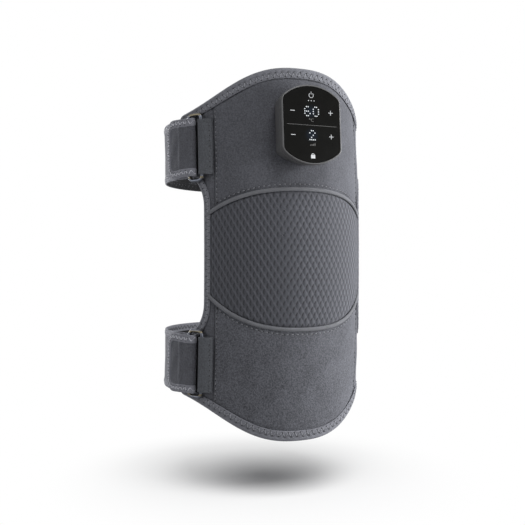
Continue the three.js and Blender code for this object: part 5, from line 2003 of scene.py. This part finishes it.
    def add_strap(self) -> None:
        """Makes run, lead, fold and flap along one line; run and fold ride on their bodies."""
        ring, flap = self.bodies
        course, marks = self.course()
        name, on_ring = f"{self.level}_strap", [f"{self.level}_ring_wire"]
        points = {key: course.lay(length, self.height, 0) for key, length in marks.items()}
        run = self.add_band(f"{name}_run", 0, marks["lead"], 2.2 * MM, course)
        stands_for = {0: [name], 1: [f"{name}_bottom_edge"], 4: [f"{name}_top_edge"]}
        # Painted shade on the faces inside the loop.
        for piece in run[:3]:
            self.darken_inside(piece)
        for number, piece in enumerate(run):
            settle(piece, Body.WRAP, stands_for.get(number, []))
        self.declare(run, marks["lead"], [f"{self.level}_right_wing_cloth"])
        lead = self.add_band(f"{name}_lead", marks["lead"], marks["fold"], 1.1 * MM, course)
        for number, piece in enumerate(lead):
            bend(piece, (Body.WRAP, ring))
        self.declare(lead, marks["fold"] - marks["lead"], on_ring)
        fold = self.add_band(f"{name}_fold", marks["fold"], marks["flap"], 0.5 * MM, course,
                             "pale_thread")
        for number, piece in enumerate(fold):
            settle(piece, ring, [] if number else [f"{name}_fold"])
        self.declare(fold, marks["flap"] - marks["fold"], on_ring)
        pieces = self.add_flap(course, marks["flap"], marks["end"])
        stands_for = {0: [f"{self.level}_flap"], 1: [f"{self.level}_flap_edge"]}
        for number, piece in enumerate(pieces):
            bend(piece, (ring, flap),
                 stands_for.get(number, []))
        web_end = marks["end"] - self.edge + self.under_edge
        self.declare(pieces, web_end - marks["flap"], on_ring)

    def strap_slot(self, number: int) -> str:
        """Slot of a piece of a stretch: the web comes first, then what binds it."""
        return "binding" if number else "webbing"

    def add_anchor(self) -> None:
        """Sews the strap's end to the wing with a box and a cross."""
        course = self.course()[0]
        half = self.width / 2 - self.edge - self.box_inset
        near, far = self.box
        turns = np.array([[near, -half], [far, -half], [far, half], [near, half], [near, -half],
                          [far, half], [near, half], [far, -half]])
        along, across = np.concatenate([
            evenly(turns[k:k + 2], 0.8 * MM)[:-1] for k in range(len(turns) - 1)]).T
        level = -self.web / 2 + 0.02 * MM
        spots = course.lay(along, self.height + across, level)
        out = unit(course.lay(along, self.height + across, level - MM) - spots)
        self.add(STITCHING.running(spots, out), f"{self.level}_anchor_stitches", "pale_thread",
                 "binding")

    def build(self) -> None:
        """Makes the whole set."""
        self.add_ring()
        self.add_tab()
        self.add_strap()
        self.add_anchor()


# The control pod


@dataclass
class Marks:
    """Flat marks on the glass, drawn as thin prisms from places and sizes in millimetres."""

    plane: Callable[[Array, Array], Array]
    low: float
    high: float
    column_pitch: float = 1.5
    row_pitch: float = 1.8
    lamp_radius: float = 0.48
    skin: Skin = field(default_factory=Skin)

    def _solid(self, left: Array, right: Array, is_loop: bool) -> None:
        """Adds a closed ribbon between two lines of flat points.

        Args:
            left: Points (n, 2) of one side.
            right: Points of the other side.
            is_loop: Joins the end to the start.
        """
        left, right = left * MM, right * MM
        rings = np.stack([self.plane(left, self.low), self.plane(right, self.low),
                          self.plane(right, self.high), self.plane(left, self.high)], axis=1)
        index = self.skin.add_points(rings)
        self.skin.cells(index, np.zeros((len(left) + is_loop, 5, 2)), wrap_rows=is_loop,
                        wrap_columns=True)
        if not is_loop:
            self.skin.faces.append(np.array([index[0], index[-1][::-1]]))
            self.skin.flat.append(np.zeros((2, 4, 2)))

    def stroke(self, path: Array, width: float, is_loop: bool = False) -> None:
        """Draws a line of a given width.

        Args:
            path: Flat points (n, 2) in the glass's own frame.
            width: Width of the line.
            is_loop: Joins the end to the start.
        """
        step = np.roll(path, -1, axis=0) - np.roll(path, 1, axis=0) if is_loop else (
            np.gradient(path, axis=0))
        aside = unit(right_of(step)) * width / 2
        self._solid(path - aside, path + aside, is_loop)

    def line(self, x: float, y: float, dx: float, dy: float, width: float) -> None:
        """Draws a straight line about a middle, to (dx, dy) on both sides."""
        self.stroke(np.array([[x - dx, y - dy], [x + dx, y + dy]]), width)

    def arc(self, x: float, y: float, radius: float, start: float, end: float,
            width: float) -> None:
        """Draws an arc from a start to an end angle, in degrees."""
        turn = np.radians(np.linspace(start, end, 40))
        self.stroke(np.array([x, y]) + radius * circle(turn), width)

    def dots(self, places: Array, radius: float) -> None:
        """Draws round dots.

        Args:
            places: Middles (n, 2).
            radius: Their radius.
        """
        rim = radius * circle(whole_turn(14))
        for place in places:
            rings = [self.plane(MM * (place + rim), level) for level in (self.low, self.high)]
            low, high = (self.skin.add_points(ring) for ring in rings)
            self.skin.cells(np.stack([low, high]), np.zeros((2, 15, 2)), wrap_columns=True)
            for ring, level, flip in ((low, self.low, True), (high, self.high, False)):
                self.skin.fan(ring, self.plane(MM * place[None], level)[0], flip)

    def matrix(self, rows: Sequence[str], middle: tuple[float, float]) -> None:
        """Draws a character of lamps.

        Args:
            rows: Lines of the character from the top, with a lamp at each X.
            middle: Middle of the character.
        """
        lit = np.array([[mark == "X" for mark in row] for row in rows])
        row, column = np.nonzero(lit)
        centre = (np.array(lit.shape) - 1) / 2
        self.dots(np.stack([middle[0] + (column - centre[1]) * self.column_pitch,
                            middle[1] - (row - centre[0]) * self.row_pitch], axis=1),
                  self.lamp_radius)


SIX = (".XX.", "X...", "XXX.", "X..X", ".XX.")
ZERO = (".XX.", "X..X", "X..X", "X..X", ".XX.")
TWO = (".XX.", "X..X", "..X.", ".X..", "XXXX")


@dataclass
class Pod(Assembly):
    """Control pod: rear and front case, touch glass, its marks and the charging socket."""

    height: float = 101 * MM
    aside: float = 0.6 * MM
    width: float = 51.4 * MM
    length: float = 63.6 * MM
    end_radius: float = 36 * MM
    corner: float = 7 * MM
    depth: float = 16.8 * MM
    wall: float = 1.8 * MM
    floor: float = 2.2 * MM
    front: float = 3.7 * MM
    glass: float = 1.2 * MM
    rim: float = 1.1 * MM
    ledge: float = 2.4 * MM
    gap: float = 0.3 * MM
    fillet: float = 0.7 * MM
    draft: float = 2.7 * MM
    draft_power: float = 1.3
    back_round: float = 0.5 * MM
    floor_round: float = 1 * MM
    case_bevel: float = 0.2 * MM
    bevel: float = 0.15 * MM
    rim_bevel: float = 0.12 * MM
    side_top: float = 1.6 * MM
    glass_under: float = 2 * MM
    glass_over: float = 0.5 * MM
    glass_flat: float = 3 * MM
    print_from: float = 0.005 * MM
    print_to: float = 0.05 * MM
    socket: tuple[float, float, float] = (8.9 * MM, 3.2 * MM, 7.3 * MM)
    socket_level: float = 6 * MM
    socket_wall: float = 0.4 * MM
    socket_inset: float = 0.7 * MM
    tongue: tuple[float, float, float] = (6.7 * MM, 0.7 * MM, 0.9 * MM)
    sharp: float = 35.0

    def plane(self, flat: Array, level: Array) -> Array:
        """Points of the pod's own frame: flat (x, up the cloth) and a level straight out.

        Args:
            flat: Points (..., 2).
            level: Distance out from the cloth on the centre line.

        Returns:
            Points with a last axis of x, y, z.
        """
        origin = self.form.place(self.aside, self.height, 0)
        right, up = np.array([1.0, 0, 0]), self.form.up(self.height)
        out = np.broadcast_to(level, flat.shape[:-1])[..., None] * np.cross(right, up)
        return origin + flat[..., :1] * right + flat[..., 1:] * up + out

    def outline(self, inset: float) -> Array:
        """Outline with two broad ends and four tight corners, moved inwards.

        Args:
            inset: Distance inwards.

        Returns:
            Points (n, 2), as many for any inset.
        """
        centre = self.length / 2 - self.end_radius
        x = self.width / 2 - self.corner
        y = centre + math.sqrt((self.end_radius - self.corner) ** 2 - x ** 2)
        turn = math.atan2(y - centre, x)
        corner, end = self.corner - inset, self.end_radius - inset
        arcs = ((x, y, corner, 0, turn, 12), (0, centre, end, turn, math.pi - turn, 30),
                (-x, y, corner, math.pi - turn, math.pi, 12))
        half = [np.array([cx, cy]) + radius * circle(np.linspace(first, last, count))
                for cx, cy, radius, first, last, count in arcs]
        side = np.linspace(y, -y, 14)[1:-1]
        left = np.stack([np.full(12, inset - self.width / 2), side], axis=1)
        top = np.concatenate([half[0], half[1][1:-1], half[2], left])
        return np.concatenate([top, -top])

    def cloth_level(self, flat: Array) -> Array:
        """Level just above the cloth: a circle across, a parabola up.

        Args:
            flat: Points (..., 2) of the pod's own frame.

        Returns:
            The level at each.
        """
        radius = self.form.radius + self.gap
        bow = self.form.bow / self.form.half_height ** 2
        return self.gap - (radius - np.sqrt(radius ** 2 - flat[..., 0] ** 2)) - (
            bow * flat[..., 1] ** 2)

    def add_rear_case(self) -> None:
        """Makes the tub whose back follows the cloth, with the mouth for the socket."""
        top = self.depth - self.front - self.gap
        backs = [self.outline(0) * share for share in (0.12, 0.35, 0.6, 0.8)]
        backs.append(self.outline(self.draft + self.back_round))
        rings = [self.plane(ring, self.cloth_level(ring)) for ring in backs]
        for share in (0, 0.25, 0.5, 0.75):
            ring = self.outline(self.draft * (1 - share) ** self.draft_power)
            base = self.cloth_level(ring) + self.back_round
            rings.append(self.plane(ring, base * (1 - share) + (top - self.case_bevel) * share))
        foot = self.wall + self.floor_round
        rings.extend(self.sweep((
            (0, top - self.case_bevel), (self.case_bevel, top), (self.wall, top),
            (self.wall, self.floor + self.floor_round), (foot, self.floor))))
        inner = self.outline(foot)
        rings += [self.plane(inner * share, self.floor) for share in (0.6, 0.12)]
        case = tube(np.stack(rings)).piece("pod_tub", self.palette["case_plastic"], self.sharp)
        self.cut_mouth(case)
        settle(case, Body.WRAP, ["pod_rear_case"])

    def rounded_slot(self, width: float, height: float, start: float, end: float) -> Array:
        """Rings of a socket's rounded section between two x positions.

        Args:
            width: Width up the pod.
            height: Width straight out.
            start: First x position.
            end: Last x position.

        Returns:
            Points (2, sides, 3).
        """
        turn = whole_turn(32)
        radius = height / 2
        up = radius * np.cos(turn) + np.sign(np.cos(turn)) * (width / 2 - radius)
        level = self.socket_level + radius * np.sin(turn)
        return np.stack([self.plane(np.stack([np.full(32, x), up], axis=1), level)
                         for x in (start, end)])

    def cut_mouth(self, case: bpy.types.Object) -> None:
        """Cuts the socket's mouth through the right wall.

        Args:
            case: The tub.
        """
        width, height, depth = self.socket
        slot = self.rounded_slot(width + 2 * self.gap, height + 2 * self.gap,
                                 self.width / 2 - depth, self.width / 2 + 2 * MM)
        cutter = tube(slot).piece("socket_cutter", self.palette["case_plastic"])
        cutting = case.modifiers.new("mouth", "BOOLEAN")
        cutting.object = cutter
        cutting.operation = "DIFFERENCE"
        cutting.solver = "EXACT"
        finished = bpy.data.meshes.new_from_object(
            case.evaluated_get(bpy.context.evaluated_depsgraph_get()))
        case.modifiers.clear()
        case.data = finished
        case.data.set_sharp_from_angle(angle=math.radians(self.sharp))
        bpy.data.objects.remove(cutter)

    def add_front_case(self) -> None:
        """Makes the front ring: a fillet outside, the glass's seat inside."""
        low, seat = self.depth - self.front, self.depth - self.glass - self.gap
        fillet = [(self.fillet * (1 - math.cos(t)), self.depth - self.fillet * (1 - math.sin(t)))
                  for t in np.linspace(0, math.pi / 2, 6)]
        bevel, rim, inner = self.rim_bevel, self.rim, self.rim + self.ledge
        section = [(self.bevel, low), (0, low + self.bevel), (0, self.depth - self.side_top),
                   *fillet, (rim - bevel, self.depth), (rim, self.depth - bevel), (rim, seat),
                   (inner, seat), (inner, low)]
        self.add(tube(self.sweep(section), is_loop=True), "pod_front_ring", "case_plastic",
                 "case_shell", ["pod_front_case"], crease=self.sharp)

    def sweep(self, section: Sequence[tuple[float, float]]) -> Array:
        """Rings of a section, given as insets and levels, round the pod's outline."""
        return np.stack([self.plane(self.outline(inset), level) for inset, level in section])

    def add_glass(self) -> None:
        """Makes the glass with its ground edge."""
        low, inset = self.depth - self.glass, self.rim + self.gap
        section = [(inset + self.glass_under, low), (inset, low),
                   (inset, self.depth - self.bevel), (inset + self.bevel, self.depth),
                   (inset + self.glass_over, self.depth), (inset + self.glass_flat, self.depth)]
        self.add(tube(self.sweep(section)), "face_glass", "touch_glass", "glass",
                 ["touch_glass"], crease=30)

    def add_marks(self) -> None:
        """Draws the lit digits, the lit icons and the dim printed marks, which are given a painted
        glow.
        """
        low, high = self.depth + self.print_from, self.depth + self.print_to
        digits, icons, dim = (Marks(self.plane, low, high) for _ in range(3))
        for rows, middle in ((SIX, (-3.7, 10.4)), (ZERO, (3.7, 10.4)), (TWO, (0, -8.6))):
            digits.matrix(rows, middle)
        icons.arc(0, 23.3, 1.9, 125, 415, 0.36)
        icons.line(0, 25.2, 0, 1.1, 0.36)
        icons.dots(np.array([[-2.4, 19.0], [0, 19.0], [2.4, 19.0]]), 0.4)
        for y in (10.2, -9.0):
            for x in (-16.6, 16.6):
                icons.line(x, y, 1.9, 0, 0.46)
            icons.line(16.6, y, 0, 1.9, 0.46)
        icons.arc(0, -24.4, 1.1, 0, 180, 0.45)
        icons.line(0, -25.7, 1.8, 0, 2.7)
        dim.line(0, -0.7, 21.6, 0, 0.25)
        dim.arc(-2, 4.2, 0.5, 0, 360, 0.26)
        dim.arc(0.6, 3.5, 1.1, 50, 310, 0.32)
        for step in range(4):
            dim.line((step - 1.5) * 1.3, -16.6 + 0.2 * step, 0, 0.35 + 0.2 * step, 0.7)
        for marks, name, finish in ((digits, "display_digits", "lit_digits"),
                                    (icons, "touch_icons", "lit_icons"),
                                    (dim, "face_marks", "print_painted_glow")):
            self.add(marks.skin, name, finish, "glass", crease=20)

    def add_socket(self) -> None:
        """Makes the socket's steel shell and the tongue inside it."""
        width, height, depth = self.socket
        mouth = self.width / 2 - self.socket_inset
        back = mouth - depth + self.gap
        thin, floor = 2 * self.socket_wall, back + self.socket_wall
        outer = self.rounded_slot(width, height, back, mouth)
        inner = self.rounded_slot(width - thin, height - thin, mouth, floor)
        self.add(tube(np.concatenate([outer, inner])), "socket_shell", "turned_steel", "steel",
                 ["usb_c_socket"], crease=self.sharp)
        width, height, short = self.tongue
        tongue = self.rounded_slot(width, height, floor, mouth - short)
        self.add(tube(tongue), "socket_tongue", "black_plastic", "black", crease=self.sharp)

    def build(self) -> None:
        """Makes the pod."""
        self.add_rear_case()
        self.add_front_case()
        self.add_glass()
        self.add_marks()
        self.add_socket()


# CAD nodes that stay, and the studio


KEPT_FINISHES = {
    "heating_film": "heating_tracks", "thermal_cutout": "black_plastic",
    "main_board": "circuit_board", "temperature_display": "black_plastic",
    "speed_display": "black_plastic", "buzzer": "black_plastic", "battery": "cell_foil",
    "pod_lead": "black_plastic", "clamp_plate": "turned_steel",
    "upper_hook_patch": "hook_pile", "lower_hook_patch": "hook_pile",
}


def dress_kept_nodes(palette: Palette) -> None:
    """Gives every CAD node that stays its procedural finish.

    Args:
        palette: The finishes.
    """
    for name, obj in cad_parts.items():
        finish = KEPT_FINISHES.get(name)
        if name.startswith("clamp_screw"):
            finish = "turned_steel"
        elif name.startswith("motor_"):
            finish = "gunmetal_plate" if "weight" in name else "turned_steel"
        if finish:
            for slot in obj.material_slots:
                slot.material = palette[finish]
            LOG.info("%s keeps its CAD shape, in %s", name, finish)


class Lights(Enum):
    """What a lamp lights, with what its light linking says of the floor."""

    OBJECT = "EXCLUDE"
    FLOOR = "INCLUDE"


@dataclass(frozen=True)
class Lamp:
    """Rectangular lamp: degrees right of the camera and above the horizon, distance, power."""

    name: str
    turn: float
    rise: float
    away: float
    power: float
    size: tuple[float, float]
    lights: Lights = Lights.OBJECT


@dataclass
class Studio:
    """Camera at the photograph's angle, pale floor, soft lamps."""

    distance: float = 719 * MM
    turn: float = math.radians(22.5)
    shift: float = 1.35 * MM
    level: float = -6.4 * MM
    lens: float = 54.857
    floor: float = -197 * MM
    floor_radius: float = 3.0
    floor_sides: int = 96
    floor_fade: tuple[float, float] = (-0.02, 0.2)
    floor_pale: tuple[float, ...] = (0.9, 0.9, 0.9, 1)
    floor_dull: tuple[float, ...] = (0.74, 0.74, 0.74, 1)
    ambient: float = 0.2
    lamps: tuple[Lamp, ...] = (
        Lamp("overhead", 20, 57.5, 1.2, 19.0, (1.05, 1.05), Lights.FLOOR),
        Lamp("top", 28, 54, 1.1, 6.2, (0.35, 0.35)),
        Lamp("key", 66, 4, 1.1, 9.4, (0.4, 0.5)),
        Lamp("fill", -62, 4, 1.1, 4.8, (0.6, 0.9)),
        Lamp("right_rim", 95, 10, 0.95, 13.2, (0.25, 0.7)),
        Lamp("left_rim", -139, 4, 0.95, 8.5, (0.12, 0.8)),
    )

    def add_camera(self) -> None:
        """Stands the camera in front, turned towards the object's left."""
        data = bpy.data.cameras.new("camera")
        data.sensor_width = 36
        data.lens = self.lens
        camera = stand("camera", data)
        camera.location = (
            -self.distance * math.sin(self.turn) - self.shift * math.cos(self.turn),
            -self.distance * math.cos(self.turn) + self.shift * math.sin(self.turn), self.level)
        camera.rotation_euler = (math.pi / 2, 0, -self.turn)
        bpy.context.scene.camera = camera

    def add_lamp(self, lamp: Lamp, receivers: bpy.types.Collection) -> None:
        """Hangs a lamp that faces the object.

        Args:
            lamp: Its place and its power.
            receivers: What it lights.
        """
        data = bpy.data.lights.new(lamp.name, "AREA")
        data.shape = "RECTANGLE"
        data.size, data.size_y = lamp.size
        data.energy = lamp.power
        around = math.radians(lamp.turn) - self.turn
        rise = math.radians(lamp.rise)
        obj = stand(lamp.name, data)
        obj.location = (lamp.away * math.sin(around) * math.cos(rise),
                        -lamp.away * math.cos(around) * math.cos(rise), lamp.away * math.sin(rise))
        obj.rotation_euler = (math.pi / 2 - rise, 0, around)
        obj.light_linking.receiver_collection = receivers

    def add_floor(self) -> bpy.types.Object:
        """Lays a pale floor whose rim fades into the white background.

        Returns:
            The floor.
        """
        sides = self.floor_sides
        rim = np.concatenate([self.floor_radius * circle(whole_turn(sides)),
                              np.full((sides, 1), self.floor)], axis=1)
        mesh = bpy.data.meshes.new("floor")
        mesh.from_pydata(rim.tolist(), [], [list(range(sides))])
        recipe = Recipe("pale_floor")
        x, y = recipe.parts(recipe.place())[:2]
        away = (x * x + y * y).power(0.5)
        shader = recipe.node("ShaderNodeBsdfPrincipled", inputs={
            "Base Color": self.floor_pale, "Roughness": 0.9, "Specular IOR Level": 0.0})
        white = recipe.node("ShaderNodeEmission", inputs={0: (1, 1, 1, 1), 1: 1.0})
        mixed = recipe.mix(away.ramp(*self.floor_fade), shader, white)
        dull = recipe.node("ShaderNodeBsdfDiffuse", inputs={0: self.floor_dull})
        rays = recipe.node("ShaderNodeLightPath").outputs
        seen = recipe.mix(Signal(recipe, rays["Is Camera Ray"]), dull, mixed)
        recipe.node("ShaderNodeOutputMaterial", inputs={0: seen})
        mesh.materials.append(recipe.owner)
        floor = stand("floor", mesh)
        return floor

    def add_world(self) -> None:
        """Sets a soft even light that the camera, gloss and glass see as white."""
        recipe = Recipe("studio", bpy.data.worlds)
        rays = recipe.node("ShaderNodeLightPath").outputs
        camera, gloss, glass = (Signal(recipe, rays[f"Is {kind} Ray"])
                                for kind in ("Camera", "Glossy", "Transmission"))
        soft, white = (recipe.node("ShaderNodeBackground", inputs={
            "Color": colour, "Strength": strength}) for colour, strength in (
                ((0.96, 0.97, 1, 1), self.ambient), ((1, 1, 1, 1), 1.0)))
        clear = recipe.maths("MAXIMUM", recipe.maths("MAXIMUM", camera, gloss), glass)
        recipe.node("ShaderNodeOutputWorld", inputs={0: recipe.mix(clear, soft, white)})
        bpy.context.scene.world = recipe.owner

    def build(self) -> None:
        """Sets up camera, floor, world and lamps."""
        bpy.context.scene.view_settings.view_transform = "Standard"
        self.add_camera()
        floor = self.add_floor()
        self.add_world()
        receivers = {}
        for kind in Lights:
            group = bpy.data.collections.new(f"lights_{kind.name.lower()}")
            group.objects.link(floor)
            group.collection_objects[0].light_linking.link_state = kind.value
            receivers[kind] = group
        for lamp in self.lamps:
            self.add_lamp(lamp, receivers[lamp.lights])


def main() -> None:
    """Builds the studio and every sub-assembly."""
    logging.basicConfig(level=logging.INFO, format="%(message)s")
    Studio().build()
    palette = Palette()
    form = WrapForm()
    Cover(form, palette).build()
    Trim(form, palette).build()
    StrapSet(form, palette, Side.UPPER, UPPER_LEVEL).build()
    StrapSet(form, palette, Side.LOWER, LOWER_LEVEL).build()
    Pod(form, palette).build()
    dress_kept_nodes(palette)


if __name__ == "__main__":
    main()
